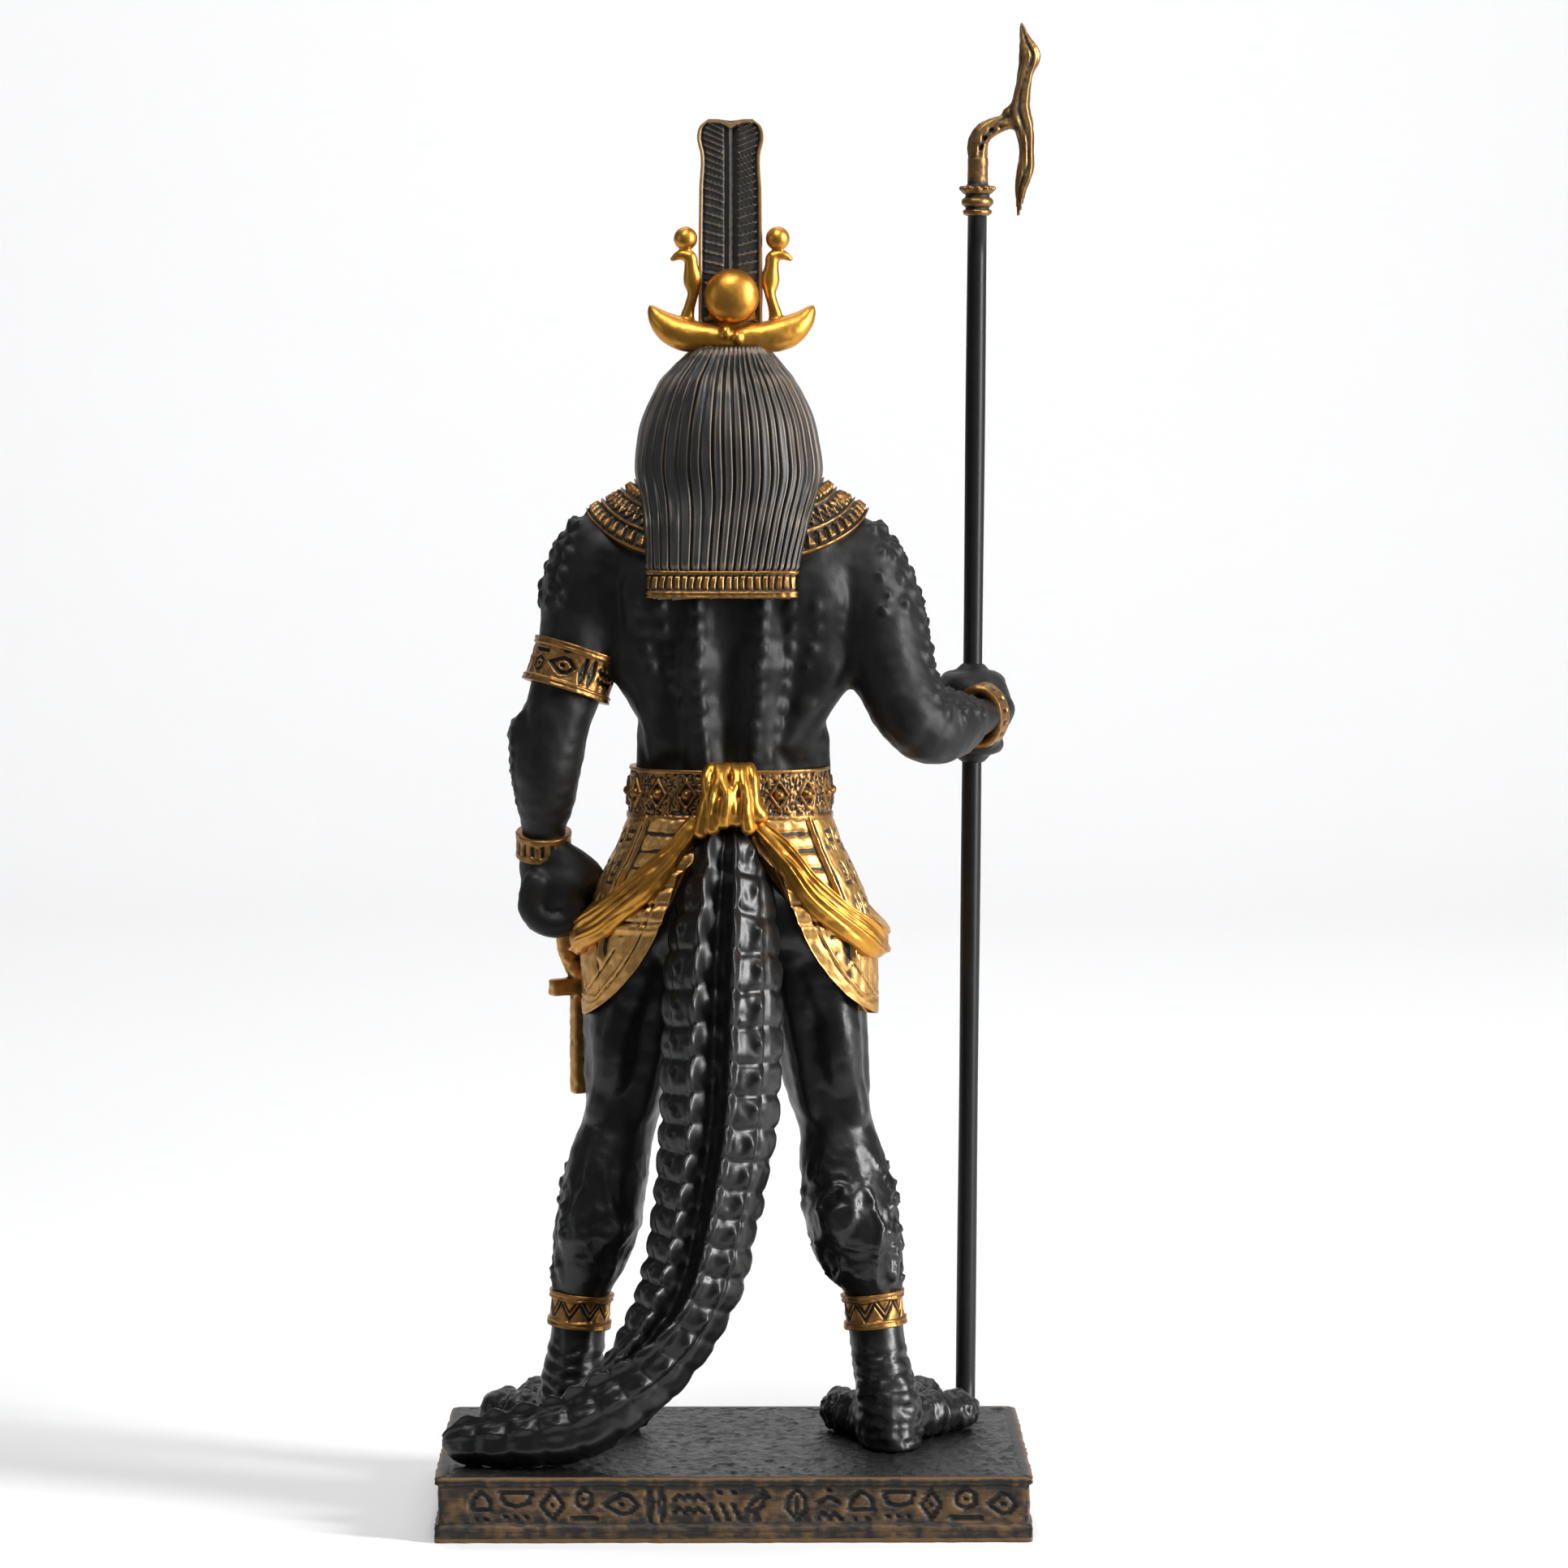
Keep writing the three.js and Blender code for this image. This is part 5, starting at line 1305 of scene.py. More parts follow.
def kilt():
    """The wrapped kilt, open behind, from the left wing's edge round the front to the right one's"""
    u = np.linspace(0, 1, 450)[:, None]
    z = np.linspace(KILT_LOW, 127.8, 76)[None, :]
    left = wing_edge(z[0], 1)[None, :]
    right = wing_edge(z[0], -1)[None, :]
    angle = left + (right - 360 - left) * u
    z = np.broadcast_to(z, angle.shape)
    z = np.maximum(z, KILT_LOW + 2.2 * hill(u - 0.5, 0.1))
    outer = kilt_at(angle, z, 0.2)
    s, _ = lengths(outer)
    total = s[-1:, :]
    edge = np.minimum(s, total - s)
    low = z - KILT_LOW
    # Degrees from straight behind, and which side
    across = 90 - np.where(angle > -90, angle, -180 - angle)
    hand = np.where(angle > -90, 1, -1)
    trim = np.maximum(ease(4.5, 4.2, edge) * ease(123, 117, z), ease(4.2, 3.9, low))
    line = hill(edge - 3.3, 0.2) * ease(3.2, 3.9, low) + hill(low - 3.1, 0.2) * ease(3.2, 3.9, edge)
    centre = 48.5 + 1.8 * hand + (127 - z) / 3.6
    beat = (z - 127.8) % 3.5 / 3.5
    ragged = 0.06 * noise(outer, 1.5, 3)
    cell = ease(0.1, 0.24, beat + ragged) * ease(0.98, 0.8, beat + ragged) * (0.7 + 0.3 * beat)
    cells = cell * ease(15, 18, across) * ease(centre - 3.4, centre - 4.6, across) * ease(104, 106, z)
    rib = hill((across - centre) * DEGREE, 0.62) * ease(98, 100, z)
    panel = ease(centre + 2.5, centre + 5, across)
    folds = np.abs(np.sin(np.pi * (across - 60) / 8)) ** 0.6 - 0.6
    skirt = ease(103, 99, z) * ease(50, 54, across)
    marks = kilt_marks(s, z, total, across)
    dents = hill((across - centre - 3.2) * DEGREE, 0.4) + hill((across - centre + 3.2) * DEGREE, 0.4)
    heights = 0.14 * panel + 0.6 * trim - 0.6 * line * trim + 0.85 * cells + 0.95 * rib - 0.1
    heights -= 0.3 * dents * ease(98, 100, z) * (1 - trim)
    heights += 0.3 * skirt * (folds + 1) * (1 - trim) - 0.5 * marks * (1 - trim)
    heights += 0.3 * ease(118, 106, z) * ease(centre - 4, centre - 8, across) * (1 - trim)
    heights += 0.16 * noise(outer, 1.6) + 0.1 * noise(outer, 0.8, 1)
    ornament("kilt", outer, heights, 1.7, 0, (KILT_GOLD, "old_gold_paint"), inner_rows=5)


def kilt_marks(s, z, total, across):
    """Small pictures on the panels beside the pleats, and one straight seam on each wing"""
    marks = np.zeros(s.shape)
    x = (across - 80.0 - (127 - z) / 3.6) * DEGREE
    for row, low in enumerate((120.8, 114, 107.2)):
        marks = np.maximum(marks, sign_row(x, z, -9.6, 10, low, low + 4.4, 4.6, 0.5, 3 * row + 1))
    edge = np.minimum(s, total - s)
    seam = hill(edge - 8.6 + 0.12 * (z - 92), 0.25) * ease(102, 101, z) * ease(91, 92, z)
    return np.maximum(marks, 0.8 * seam)


def apron():
    """A narrow pleated panel that hangs in front"""
    z = np.linspace(82, 128, 90)
    f = (128 - z) / 46
    x = np.linspace(-1, 1, 41)
    half, face = 6 + 3 * f, -18 - 3.8 * f
    outer = level_grid(0.5 + x[:, None] * half, face + 0.8 * x[:, None] ** 2, z)
    bars = np.abs(np.sin(np.pi * (z - 82) / 4.2)) ** 0.5 - 0.5
    rim = ease(0.8, 0.86, np.abs(x))[:, None]
    heights = 0.6 * rim + (1 - rim) * 0.55 * bars[None, :] + 0.1 * noise(outer, 1.4)
    ornament("apron", outer[::-1], heights, 2.4, 0.25, (KILT_GOLD, "gold_paint"))


# The sash behind, from the knot to the hip: degrees and heights on the kilt
LEFT_SASH = [[75, 127.3], [65, 120.5], [54, 114], [38, 108.6], [20, 104.8], [5, 102.6]]
RIGHT_SASH = [[80, 127.3], [67, 120.3], [57.5, 113.4], [43, 107.4], [23, 103.2], [5, 101.9]]
SASH_IN_FRONT = [[-20, 104.4], [-46, 113], [-72, 125]]
# Its half widths from the knot to its end in front
SASH_WIDTHS = [
    (0, 1.5), (0.06, 2), (0.16, 2.9), (0.28, 3.4), (0.4, 3.8), (0.5, 3.7), (0.62, 3.1), (0.8, 2.4), (1, 1.8)]
# Its folds: where across it, how sharp, and from where to where along it
SASH_FOLDS = [
    (-0.6, 0.13, 0, 0.62), (-0.24, 0.1, 0.05, 0.5), (0.06, 0.09, 0.16, 0.6), (0.36, 0.14, 0.1, 0.8),
    (0.7, 0.11, 0, 0.42), (-0.84, 0.1, 0.3, 0.9)]


def sash_half(side):
    """Half of the sash: it leaves the knot, sags to the hip and climbs again in front"""
    fine = fair([*(LEFT_SASH if side > 0 else RIGHT_SASH), *SASH_IN_FRONT], 21)
    angle = fine[:, 0] if side > 0 else 180 - fine[:, 0]
    path = kilt_at(angle, fine[:, 1], 1.0)
    run = np.linspace(0, 1, len(path))
    wide = np.interp(run, *np.array(SASH_WIDTHS).T) + 0.25 * np.sin(31 * run + side)
    along = headings(path)
    out = path * (1, 1, 0) - (0.7, 0, 0)
    out /= np.linalg.norm(out, axis=1, keepdims=True)
    across = np.cross(along, out)
    across /= np.linalg.norm(across, axis=1, keepdims=True)
    out = np.cross(across, along)
    around = np.linspace(0, TAU, 80, endpoint=False)
    c, s = soft(np.cos(around), 0.9), soft(np.sin(around), 0.75)
    # Uneven folds that wander and fade along the cloth
    lane = np.cos(around)[None, :] + 0.16 * np.sin(8 * run[:, None] + side) + 0.08 * np.sin(19 * run[:, None])
    folds = 0
    for middle, sharp, start, end in SASH_FOLDS:
        fade = ease(start, start + 0.08, run) * ease(end, end - 0.16, run)
        folds = folds + fade[:, None] * hill(lane - middle - 0.25 * (run[:, None] - 0.3), sharp)
    swell = 0.35 * np.sqrt(np.clip(1 - lane ** 2, 0, 1)) + 0.9 * np.minimum(folds, 1)
    thick = 1.45 + swell * (np.sin(around) > 0)
    grid = (path[:, None] + across[:, None] * (wide[:, None] * c)[..., None]
            + out[:, None] * (thick * s[None, :])[..., None])
    return carved_tube(grid, 0.14 * noise(grid, 2.2, 3) + 0.05 * noise(grid, 0.9, 4))


def sash():
    """The bright sash: a knot of upright folds over the tail's root, and two swags"""
    set_down("sash_left", sash_half(1), GOLD, rounds=7)
    set_down("sash_right", sash_half(-1), GOLD, rounds=7)
    clay = Clay((-8, 8, 120), (9, 24, 142), 0.33)
    middle = 0.8
    # Each fold of the knot: its lower end's place across and out, its height and its size
    folds = [(-5.2, -0.2, 128.6, 1.7), (-2.9, 1.1, 126.2, 1.5), (-0.4, 0.6, 127.8, 1.6), (2, 1.3, 127.4, 1.5),
             (4.2, 0.8, 126.2, 1.6), (6.4, -0.3, 125.4, 1.7)]
    for k, (x, out, low, r) in enumerate(folds):
        gap = x - middle
        sway = 0.5 * np.sin(2.6 * k)
        clay.limb([
            [middle + gap * 0.5, 12.6, 136.6, 1.2, 1.2], [middle + gap * 0.66, 14.6, 137.7, 1.3, 1.4],
            [middle + gap * 0.78 + sway, 16.2 + 0.5 * out, 135.6, 1.2, 1.6],
            [middle + gap * 0.8 - sway, 16.8 + out, 132.6, 1.25, 1.9],
            [middle + gap * 0.84, 17 + 1.2 * out, 129.8, r, 2],
            [x, 16.8 + out, low, r, 1.8]], blend=0.25, times=4)
    clay.put(ball((middle, 14, 131.6), (5.4, 2.6, 6.4)), 1)
    for k in (1, 3, 4):
        x = folds[k][0] + 1.3
        clay.put(bone((x, 19.6, 134), (x + 0.5, 20, 127.4), 0.5, 0.7), 0.6, take=True)
    points, faces = clay.skin()
    points = carved(points, faces, 0.12 * noise(points, 1.8))
    set_down("sash_knot", (points, faces), GOLD, rounds=12)


# Bands on the limbs

def limb_band(rows, stations, rise, columns, count):
    """A ring laid round a limb between two stations: its face, lengths on it, its height and its girth"""
    stations = np.linspace(*stations, count)
    here = at(rows, stations)
    ahead = at(rows, stations + 0.05) - at(rows, stations - 0.05)
    along = ahead[:, :3] / np.linalg.norm(ahead[:, :3], axis=1, keepdims=True)
    along = np.broadcast_to(along.mean(0) / np.linalg.norm(along.mean(0)), along.shape)
    towards = np.array([0.0, 1.0, 0.0]) if abs(along[0, 1]) < 0.8 else np.array([0.0, 0.0, 1.0])
    front = towards - (along @ towards)[:, None] * along
    front /= np.linalg.norm(front, axis=1, keepdims=True)
    side = np.cross(front, along)
    c, s = turned(-90 + np.arange(columns) * 360 / columns)
    wide, deep = here[:, 3].mean() + rise, here[:, 4].mean() + rise
    outer = here[None, :, :3] + side[None] * (wide * c)[:, None, None]
    outer = outer + front[None] * (deep * s)[:, None, None]
    s, t = lengths(outer)
    return outer, s, t, t.max(), s.max() * (columns + 1) / columns


def two_rails(t, high, foot, crest):
    """1 on the rails along both edges of a band, which slope down from crest to foot"""
    return ease(foot, crest, t) + ease(high - foot, high - crest, t)


def armlet():
    """A broad band with signs between two grooved rails"""
    outer, s, t, high, around = limb_band(LEFT_ARM, ARMLET, 0.9, 330, 42)
    rails = two_rails(t, high, 1.5, 1.2)
    rails -= 0.5 * (hill(t - 0.75, 0.16) + hill(t - high + 0.75, 0.16))
    marks = sign_row(s, t, 0, around, 2.2, high - 2.2, 5.4, 0.75, 2)
    heights = 0.15 + 0.5 * rails - 0.7 * marks + 0.1 * noise(outer, 1.3) + 0.08 * noise(outer, 0.7, 1)
    ornament("armlet", outer, heights, 1.6, -0.05, ring=True)


def bracelet():
    """The left wrist's band: upright bars between two wavy rails"""
    outer, s, t, high, around = limb_band(LEFT_ARM, BRACELET, 0.7, 230, 26)
    wave = 0.25 * np.sin(TAU * s / around * 9)
    rails = two_rails(t + wave, high, 1.5, 1.1)
    beat = (s % (around / 18)) / (around / 18)
    bars = ease(0.12, 0.3, beat) * ease(0.92, 0.74, beat)
    heights = 0.65 * np.clip(np.maximum(rails, 0.85 * bars), 0, 1) + 0.1 * noise(outer, 1)
    ornament("bracelet", outer, heights, 1.5, 0.2, ring=True)


def wristlet():
    """The right wrist's band: upright bars between two straight rails"""
    outer, s, t, high, around = limb_band(RIGHT_ARM, WRISTLET, 0.9, 230, 26)
    rails = two_rails(t, high, 1.3, 1)
    beat = (s % (around / 14)) / (around / 14)
    bars = ease(0.1, 0.25, beat) * ease(0.95, 0.8, beat)
    heights = 0.55 * np.clip(np.maximum(rails, 0.8 * bars), 0, 1) + 0.1 * noise(outer, 1)
    ornament("wristlet", outer, heights, 1.5, 0.2, ring=True)


def anklet(name, leg):
    """An ankle's band: a double zigzag between two grooved rails"""
    outer, s, t, high, around = limb_band(leg, ANKLET, 0.35, 250, 36)
    wave = 0.2 * np.sin(TAU * s / around * 5)
    rails = two_rails(t + wave, high, 1.6, 1.3)
    rails -= 0.45 * (hill(t - 0.85, 0.14) + hill(t - high + 0.85, 0.14))
    pitch = around / 9
    slope = np.abs((s % pitch) / pitch - 0.5) * 2
    zigzag = 1.9 + (high - 3.8) * slope
    lines = np.maximum(hill((t - zigzag) * 0.62, 0.26), 0.8 * hill((t - zigzag + 1.4) * 0.62, 0.2))
    heights = 0.15 + 0.5 * rails - 0.6 * lines * (1 - np.clip(rails, 0, 1)) + 0.12 * noise(outer, 1.2)
    ornament(name, outer, heights, 1.5, -0.05, ring=True)


# Head

# The jaws from the neck to the tip: how far forward, half width, top and underside
UPPER_JAW = [
    [2, 12, 214, 196], [-11, 12.2, 213.4, 198], [-17, 11.2, 212, 199.6], [-22, 8.8, 209.2, 200.4],
    [-30, 6.6, 206.4, 200.6], [-39, 5.8, 205, 200.6], [-44.6, 6.4, 206.4, 200.4], [-48.6, 4, 204.8, 201]]
LOWER_JAW = [
    [2, 11, 203, 189], [-10, 11.4, 202, 191], [-20, 8.4, 200.4, 193.8], [-32, 5.6, 200, 196],
    [-42, 5.2, 199.8, 196.8], [-46, 3.2, 199.6, 197.6]]


def head():
    """A crocodile's head: long snout with teeth along it, brows over the eyes, knobbed cheeks"""
    clay = Clay((-16, -53, 186), (17, 6, 220), 0.6)
    middle = 0.5
    for jaw in (UPPER_JAW, LOWER_JAW):
        rows = [[middle, y, (top + low) / 2, half, (top - low) / 2] for y, half, top, low in jaw]
        clay.limb(rows, (0, 0, 1), 0.5, 4)
    for side in (-1, 1):
        clay.limb([[middle + side * x, y, z, r, r] for x, y, z, r in (
            (8, -8, 212, 2.2), (7.8, -13, 214, 2.8), (7.2, -17.4, 213.4, 2.6), (6, -21.6, 210.4, 1.5),
            (4.6, -28, 207.6, 1))], (0, 0, 1), 1)
        clay.put(ball((middle + side * 9.4, -15.6, 210.6), 2.2), 0.3)
        clay.put(ball((middle + side * 3, -45.6, 206.4), (1.9, 2.2, 1.5)), 0.8)
        clay.put(ball((middle + side * 3, -46.6, 208), (0.6, 0.9, 1)), 0.3, take=True)
        clay.put(ball((middle + side * 10.4, -5, 199), (3.4, 6, 5)), 2.5)
        for y in np.arange(-45, -20, 2.9):
            reach = np.interp(-y, [20, 30, 39, 45], [8.4, 6.3, 5.6, 5.4])
            gum, tip = middle + side * reach, middle + side * (reach + 0.15)
            clay.put(bone((gum, y, 200.9), (tip, y, 198.6), 0.85, 0.35), 0.3)
            root = middle + side * (reach - 0.4)
            clay.put(bone((root, y - 1.4, 199.2), (gum, y - 1.4, 201.2), 0.7, 0.3), 0.3)
    scutes = [(middle + x, y, 220) for y in np.arange(-43, -8, 3.4) for x in np.arange(-7.5, 7.6, 3)]
    for point in clay.land(scutes, (0, 0, -1)):
        if point[2] > 203:
            clay.put(ball(point, (1.2, 1.35, 0.85)), 0.7)
    points, faces = clay.skin()
    points = carved(points, faces, 0.12 * noise(points, 2.2) + 0.1 * noise(points, 1.2, 1))
    set_down("head", (points, faces), RESIN)


# Crown

CROWN_BASE = 234.6


def crown():
    """Sun disc, ram's horns tied at the middle, and two rearing snakes that carry balls, on a small seat"""
    clay = Clay((-18, -6, -2.6), (18, 9, 26), 0.36)
    clay.put(ball((0, 3.2, 10), (5.5, 3.9, 5.55)))
    clay.put(ball((0, 1, 0.6), (8.8, 4.6, 1.7)), 0.4)
    clay.limb([[0, 0.8, 3, 6.4, 1.1], [0, 0.8, 9, 5.6, 0.9]], (0, 1, 0))
    for side in (-1, 1):
        clay.limb([[side * x, y, z, r, q] for x, y, z, r, q in (
            (0.9, 4.2, 2, 1.5, 1.5), (2.8, 3.4, 1.9, 2.2, 2.2), (6, 2.6, 2, 2.9, 2.7), (9, 2, 2.3, 3.3, 3),
            (11.8, 1.5, 3.3, 3.1, 2.8), (14, 1, 4.9, 2.3, 2.2), (15.4, 0.7, 6.6, 1.4, 1.4),
            (16.1, 0.5, 7.8, 0.6, 0.6))], blend=0.5, times=5)
        clay.put(ball((side * 1.2, 5, 2.3 + 0.5 * side), (1.2, 1.4, 1.5)), 0.3)
        clay.limb([[side * x, 1.4, z, r, 1.3] for x, z, r in (
            (8, 3.4, 1.3), (8.8, 5.6, 1.4), (8.4, 8, 1.1), (7.7, 10.4, 1.1), (7.6, 13, 1.5), (8, 15.6, 1.4),
            (8.2, 18, 1.1))], blend=0.4, times=5)
        clay.limb([[side * x, 1.4, z, r, r] for x, z, r in (
            (7.8, 17.4, 1), (9.2, 18.2, 1.1), (10.6, 18.2, 0.9), (11.8, 17.4, 0.5))], blend=0.4, times=4)
        clay.put(ball((side * 7.8, 1.2, 13.4), (1.8, 1.3, 2.8)), 0.5)
        clay.put(ball((side * 9.2, 1.2, 21.5), 2.38), 0.4)
    points, faces = clay.skin()
    points = carved(points, faces, 0.05 * noise(points, 1.7) + 0.03 * noise(points, 0.9, 1))
    points += (0.3, 1.2, 0)
    set_down("crown_gold", (points, faces), CROWN_GOLD, ["crown"], CROWN_BASE, 10)


# The outline of the pair of plumes: share of the height, and share of the half width
PLUME_OUTLINE = [
    [0, 0.96], [0.45, 0.95], [0.7, 0.93], [0.8, 0.88], [0.85, 0.89], [0.88, 0.95], [0.915, 1],
    [0.945, 0.985], [0.97, 0.92], [0.988, 0.8], [1, 0.6]]


def plumes():
    """Two tall feathers side by side: thin rims, a rib with a groove between them, and short flat barbs"""
    tall, half = 45.2, 6.7
    f = np.concatenate([np.linspace(0.04, 0.86, 140), np.linspace(0.865, 1, 30)])
    reach = running_mean(np.interp(f, *np.array(PLUME_OUTLINE).T), 3) * half
    u = np.linspace(-1, 1, 63)
    x = u[None, :] * reach[:, None]
    notch = 1.1 * hill(x, 1.3) * ease(0.9, 1, f)[:, None]
    z = f[:, None] * tall - notch + 0 * x
    away = reach[:, None] - np.abs(x)
    rim = np.maximum(ease(0.85, 0.6, away), ease(tall - 0.9, tall - 0.65, z + notch))
    rib = 1.3 * hill(x - 0.2, 0.34) - 0.9 * hill(x + 0.5, 0.26)
    slope = np.interp(f, [0, 0.5, 1], [0.06, 0.3, 0.7])[:, None] * np.abs(x)
    pitch = 2.7 - 1.05 * f[:, None]
    step = ((z - slope + 0.12 * noise(np.stack([x, 0 * x, z], -1), 3, 5)) / pitch) % 1
    cells = ease(0, 0.1, step) * ease(1, 0.88, step) * (0.6 + 0.4 * step)
    lip = hill(step - 0.82, 0.09)
    barbs = (0.4 * cells + 0.34 * lip) * ease(1.2, 1.5, np.abs(x)) * ease(0.9, 1.2, away)
    heights = 0.75 * rim + 0.42 * np.maximum(rib, -0.8) * (1 - rim) + barbs * (1 - rim)
    heights += 0.06 * noise(np.stack([x, 0 * x, z], -1), 1.2)
    thick = 1.15
    back = np.stack([x, thick + heights, z], -1)
    front = np.stack([x, -thick - heights, z], -1)[:, ::-1]
    grid = np.concatenate([back, front], 1) + (0.5, 1.2, 0)
    rubbed = 0.5 * heights + 0.35 * rim
    proud = with_ends(np.concatenate([rubbed, rubbed[:, ::-1]], 1) - 0.375)
    set_down("plumes", capped(grid), PLUME_BRONZE, ["crown"], CROWN_BASE, proud=proud)


# Sceptre and looped cross

SHAFT_FOOT = np.array([-47.9, -24.0, 13.3])
SHAFT_TOP = np.array([-49.8, -24.0, 261.3])
# The socket's heights and radii above the shaft's top
SOCKET = [
    [-0.5, 2.3], [-0.2, 2.9], [0.5, 3], [0.8, 2.4], [1.2, 2.4], [1.6, 3.1], [2.2, 3.35], [2.9, 3.1],
    [3.3, 2.4], [3.8, 2.5], [4.2, 3.2], [4.9, 3.3], [5.3, 2.6], [5.8, 2.1], [11, 2.05], [11.4, 1.4]]
# The bent neck: place across, height and radius
SCEPTRE_NECK = [
    (-0.1, 10, 1.9), (0.1, 14, 2), (-0.8, 16.2, 2), (-3.1, 17.6, 1.75), (-5.5, 18.3, 1.55),
    (-7.8, 18.8, 1.7), (-9, 20.6, 1.4)]
# The blade from its upper point down: height, place across, and half sizes
SCEPTRE_BLADE = [
    [38.3, -8.6, 0.3, 0.3], [34.6, -9.5, 1.4, 1], [31.8, -10.3, 2.2, 1.5], [28.2, -9.5, 1.6, 1.5],
    [23.9, -8.9, 1.7, 1.6], [20.6, -8.6, 2, 1.8], [17.3, -9.4, 2, 1.8], [12.7, -9.9, 1.4, 1.5],
    [8.4, -9.6, 1.75, 1.4], [4.3, -8.8, 1.05, 0.9], [-0.2, -8.4, 0.3, 0.3]]


def shaft():
    """The sceptre's thin straight rod, very slightly uneven"""
    z = np.linspace(0, 1, 30)
    angle = np.linspace(0, TAU, 40, endpoint=False)
    path = SHAFT_FOOT + z[:, None] * (SHAFT_TOP - SHAFT_FOOT)
    size = 2 + 0.05 * np.sin(17 * z)
    around = np.stack([np.cos(angle), np.sin(angle), 0 * angle], -1)
    grid = path[:, None] + size[:, None, None] * around[None]
    set_down("shaft", capped(grid), SHAFT_LACQUER, ["staff_shaft"], 0, 2)


def sceptre_head():
    """A ringed socket, a neck that bends over, and a long blade like a worn root, pointed at both ends"""
    clay = Clay((-14, -5, -1.6), (5, 5, 40.4), 0.3)
    clay.put(lathe(SOCKET), 0.2)
    for k in range(12):
        c, s = turned(k * 30)
        clay.put(ball((3.1 * c, 3.1 * s, 5.0), (0.7, 0.7, 0.6)), 0.15)
    clay.limb([[x, 0, z, r, r] for x, z, r in SCEPTRE_NECK], blend=0.4, times=5)
    clay.limb([[x, 0, z, r, q] for z, x, r, q in SCEPTRE_BLADE], blend=0.8, times=5)
    clay.put(ball((-6.4, 0, 20.6), (1.4, 1, 1)), 1.4)
    for x, z in ((-0.4, 13.4), (-1.1, 15.2), (-2.6, 16.6), (-4.4, 17.3)):
        for y in (1.9, -1.9):
            clay.put(ball((x, y, z), (0.5, 0.9, 0.6)), 0.3, take=True)
    points, faces = clay.skin()
    x, y, z = points.T
    middle, = keyed(np.array(SCEPTRE_BLADE)[:, :2], z)
    on_blade = x < -6.2
    # How far round the blade, or round the neck, which bends about a middle of its own
    turn = np.where(on_blade, np.arctan2(y, x - middle), np.arctan2(y, np.hypot(x + 9, z - 10.5) - 9.4))
    waver = 0.6 * np.sin(0.35 * z) + 0.5 * noise(points, 4, 2)
    grain = np.abs(np.sin(2 * turn + waver)) ** 0.6 - 0.75
    fine = 0.09 * np.sin(9 * turn + 0.8 * np.sin(0.6 * z))
    wood = np.where(on_blade, 1, ease(11.2, 12, z)) * (0.55 * grain + fine)
    points = carved(points, faces, wood + 0.06 * noise(points, 0.9, 1))
    lean = (SHAFT_TOP - SHAFT_FOOT) / np.linalg.norm(SHAFT_TOP - SHAFT_FOOT)
    points[:, 0] += points[:, 2] * lean[0]
    points += SHAFT_TOP + 0.3 * lean
    set_down("sceptre_head", (points, faces), STAFF_GOLD, ["staff_head"], 0, 9)


def looped_cross():
    """The looped cross that hangs from the left hand"""
    clay = Clay((-8, -4, -24), (8, 4, 17), 0.42)
    clay.put(block((0, 0, -10.6), (2, 1.4, 11.6)))
    clay.put(block((0, 0, -0.4), (6.8, 1.4, 1.75)), 0.4)
    # The ring narrows towards its foot, where the block below fills it
    turns = [turned(angle) for angle in range(-90, 271, 30)]
    clay.limb([[0.4 + (3.2 + s) * c, 0.4, 8.4 + 6.2 * s, 1.8, 1.5] for c, s in turns], blend=0.4)
    clay.put(block((-0.2, 0.1, 5), (2.6, 1.4, 4.4)), 0.4)
    points, faces = clay.skin()
    points = carved(points, faces, 0.13 * noise(points, 1.3) + 0.06 * noise(points, 0.7, 1))
    yaw = 0.5
    c, s = np.cos(yaw), np.sin(yaw)
    x, y, z = points.T
    points = np.stack([31 + c * x - s * y, -5.4 + s * x + c * y, 92.4 + z], -1)
    set_down("looped_cross", (points, faces), KILT_GOLD, rounds=7)


# Plinth

LONG, DEEP = 118.0, 78.0
# Its profile from the foot to the sunk top: how far in from the side, and height
PLINTH_PROFILE = [
    (0.6, 0), (0.05, 0.2), (0, 0.9), (0, 2.9), (0.3, 3.4), (0.75, 3.6), (0.75, 4.6), (0.75, 10.2),
    (0.75, 11.0), (0.3, 11.4), (0, 11.6), (0, 12.6), (0.35, 13.0), (2.6, 13.0), (3.2, 12.5)]


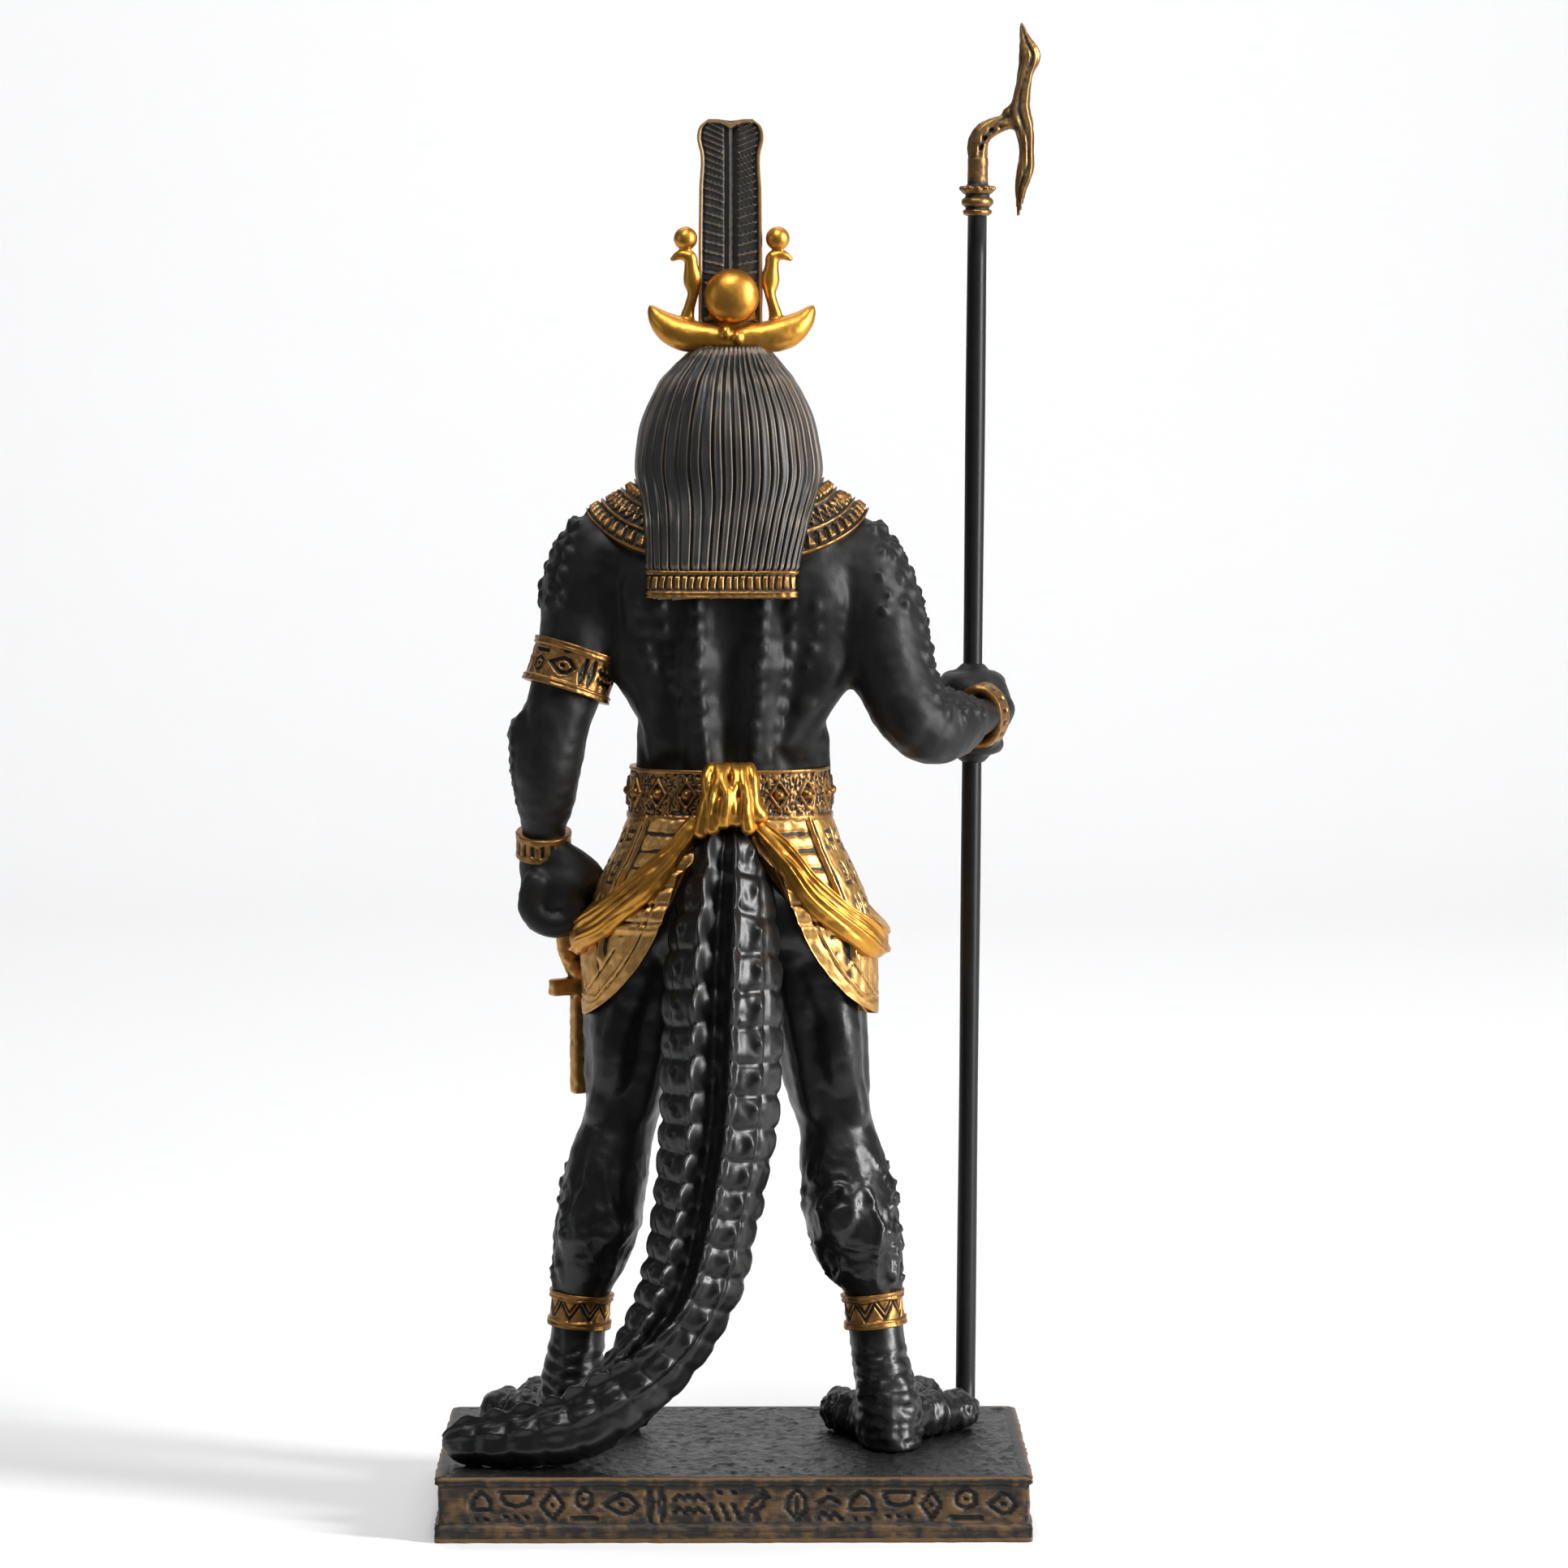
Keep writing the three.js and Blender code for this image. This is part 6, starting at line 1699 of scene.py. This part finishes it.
def plinth():
    """A block with a lip and a foot, and between them a band of shallow strokes"""
    rows, band_rows = [], 21
    for (a, p), (b, q) in zip(PLINTH_PROFILE[:-1], PLINTH_PROFILE[1:]):
        steps = max(1, int(abs(q - p) / 0.35)) if q - p < 2 else band_rows
        for k in range(steps):
            rows.append([a + (b - a) * k / steps, p + (q - p) * k / steps])
    inset, z = np.array([*rows, PLINTH_PROFILE[-1]]).T
    along = np.arange(0, 2 * (LONG + DEEP), 0.56)
    grid = np.zeros((len(z), len(along), 3))
    half = np.array([LONG / 2, DEEP / 2])
    corners = np.array([[-1, 1], [1, 1], [1, -1], [-1, -1], [-1, 1]]) * half
    ends = np.array([0, LONG, LONG + DEEP, 2 * LONG + DEEP, 2 * (LONG + DEEP)])
    x, y = (np.interp(along, ends, corners[:, k]) for k in (0, 1))
    for row in range(len(z)):
        shrink = 1 - inset[row] / half
        grid[row] = np.stack([x * shrink[0], y * shrink[1], np.full(len(along), z[row])], -1)
    s = np.broadcast_to(along, grid.shape[:2])
    t = np.broadcast_to(z[:, None], grid.shape[:2])
    marks = np.zeros(grid.shape[:2])
    for first, last, seed in zip(ends[:-1], ends[1:], (0, 4, 7, 2)):
        marks = np.maximum(marks, sign_row(s, t, first + 2, last - 1.6, 4.3, 10.6, 6.9, 0.8, seed))
    lines = hill(t - 2.2, 0.13) * 0.12 + hill(t - 12.1, 0.12) * 0.12
    corner = np.min([np.abs(along - e) for e in ends], axis=0)[None, :]
    dents = (0.2 * noise(grid, 2.4) + 0.13 * noise(grid, 1, 1)) * (t < 12.9) * (t > 0.1)
    heights = -0.6 * marks - lines + dents - 0.25 * hill(corner, 0.7) * (1 + noise(grid, 1.7, 2))
    # The bronze rub lies on the band and in the middle of the foot; the lip stays nearly black
    rubbed = heights + 0.12 * ease(3.4, 3.8, t) * ease(11.2, 10.8, t) - 0.25 * ease(11.2, 11.6, t)
    points, faces = carved_tube(grid, heights)
    points[:, 2] = np.maximum(points[:, 2], 0)
    proud = with_ends(rubbed)
    set_down("plinth", (points, faces), PLINTH_BRONZE, ["plinth"], 0, 4, proud)


def plinth_top():
    """The stippled top of the plinth"""
    step, margin = 0.76, 1.5
    x = np.linspace(-LONG / 2 + margin, LONG / 2 - margin, int(LONG / step))
    y = np.linspace(-DEEP / 2 + margin, DEEP / 2 - margin, int(DEEP / step))
    grid = np.stack(np.meshgrid(x, y, [12.95], indexing="ij"), -1)[:, :, 0]
    edge = np.minimum(LONG / 2 - margin - np.abs(grid[..., 0]), DEEP / 2 - margin - np.abs(grid[..., 1]))
    lumps = 0.22 * noise(grid * (1, 0.7, 1), 1.0) + 0.12 * noise(grid, 3.2, 1)
    lumps += 0.34 * hill(noise(grid * (1, 0.7, 1), 1.2, 2) - 0.5, 0.17)
    grid[..., 2] += np.clip(lumps, -0.4, 0.35) * ease(0, 2, edge) - 0.25 * ease(0.8, 0, edge)
    low = grid.copy()[:, [0, -1]][:, ::-1]
    low[..., 2] = 12
    skin = capped(np.concatenate([grid, low], 1))
    set_down("plinth_top", skin, PLINTH_TOP, ["plinth"], 0, 4)


# The room: floor, light and camera

def room():
    """A pale paper sweep under and behind the statuette, cut off just in front of it"""
    f = Finish("pale paper", Specular_IOR_Level=0.1)
    shade = f.grain(300, 2)
    paper = f.coat(f.mix(shade, (0.86, 0.86, 0.865), (0.88, 0.88, 0.885)), 0.85 + shade * 0.1)
    profile = [(0.14, 0), (0, 0), (-1.2, 0)]
    for k in range(1, 17):
        c, s = turned(90 * k / 16)
        profile.append((-1.2 - 0.8 * s, 0.8 * (1 - c)))
    profile.append((-2.0, 2.4))
    points = [(x, y, z) for y, z in profile for x in (-2.4, 2.4)]
    mesh = bpy.data.meshes.new("floor")
    mesh.from_pydata(points, [], net(len(profile), 2).tolist())
    mesh.shade_smooth()
    mesh.materials.append(paper)
    floor = bpy.data.objects.new("floor", mesh)
    bpy.context.collection.objects.link(floor)


def lamp(name, place, aim, size, power, colour=(1, 1, 1)):
    """A softbox that looks at a point; places and sizes in metres, power in watts"""
    light = bpy.data.lights.new(name, "AREA")
    light.shape = "RECTANGLE"
    light.size, light.size_y = size
    light.energy = power
    light.color = colour
    made = bpy.data.objects.new(name, light)
    made.location = place
    x, y, z = np.array(aim, float) - place
    made.rotation_euler = Euler((np.arctan2(np.hypot(x, y), -z), 0, np.arctan2(y, x) - np.pi / 2))
    bpy.context.collection.objects.link(made)


def lights():
    """A strong soft key from the left, weak light from the right and above, and one for the backdrop"""
    world = bpy.data.worlds.new("studio")
    world.use_nodes = True
    world.node_tree.nodes["Background"].inputs["Color"].default_value = (0.95, 0.97, 1, 1)
    world.node_tree.nodes["Background"].inputs["Strength"].default_value = 0.1
    bpy.context.scene.world = world
    lamp("key", (-1.07, 0.48, 0.46), (0, 0, 0.2), (0.2, 0.9), 27)
    lamp("fill", (1.1, 0.5, 0.4), (0, 0, 0.15), (0.15, 0.6), 0.8, (0.9, 0.95, 1))
    lamp("top", (0.05, 0.5, 1.05), (0, 0, 0.2), (0.35, 0.35), 6.2)
    lamp("backdrop", (0, -0.7, 1.6), (0, -1.8, 0.3), (1.8, 0.5), 20.5)


def camera():
    """The photograph's view: straight from behind, from the crown's height, looking slightly down"""
    made = bpy.data.objects.new("camera", bpy.data.cameras.new("camera"))
    made.location = (0, 1.209, 0.2415)
    made.rotation_euler = Euler((np.radians(90 - 4.48), 0, np.radians(180 - 0.483)))
    made.data.lens = 138.3
    bpy.context.collection.objects.link(made)
    bpy.context.scene.camera = made
    bpy.context.scene.view_settings.view_transform = "Standard"


camera()
lights()
room()
torso()
legs()
tail()
wig()
wig_hem()
collar()
belt()
kilt()
apron()
sash()
armlet()
bracelet()
wristlet()
anklet("anklet_left", LEFT_LEG)
anklet("anklet_right", RIGHT_LEG)
head()
crown()
plumes()
shaft()
sceptre_head()
looped_cross()
plinth()
plinth_top()
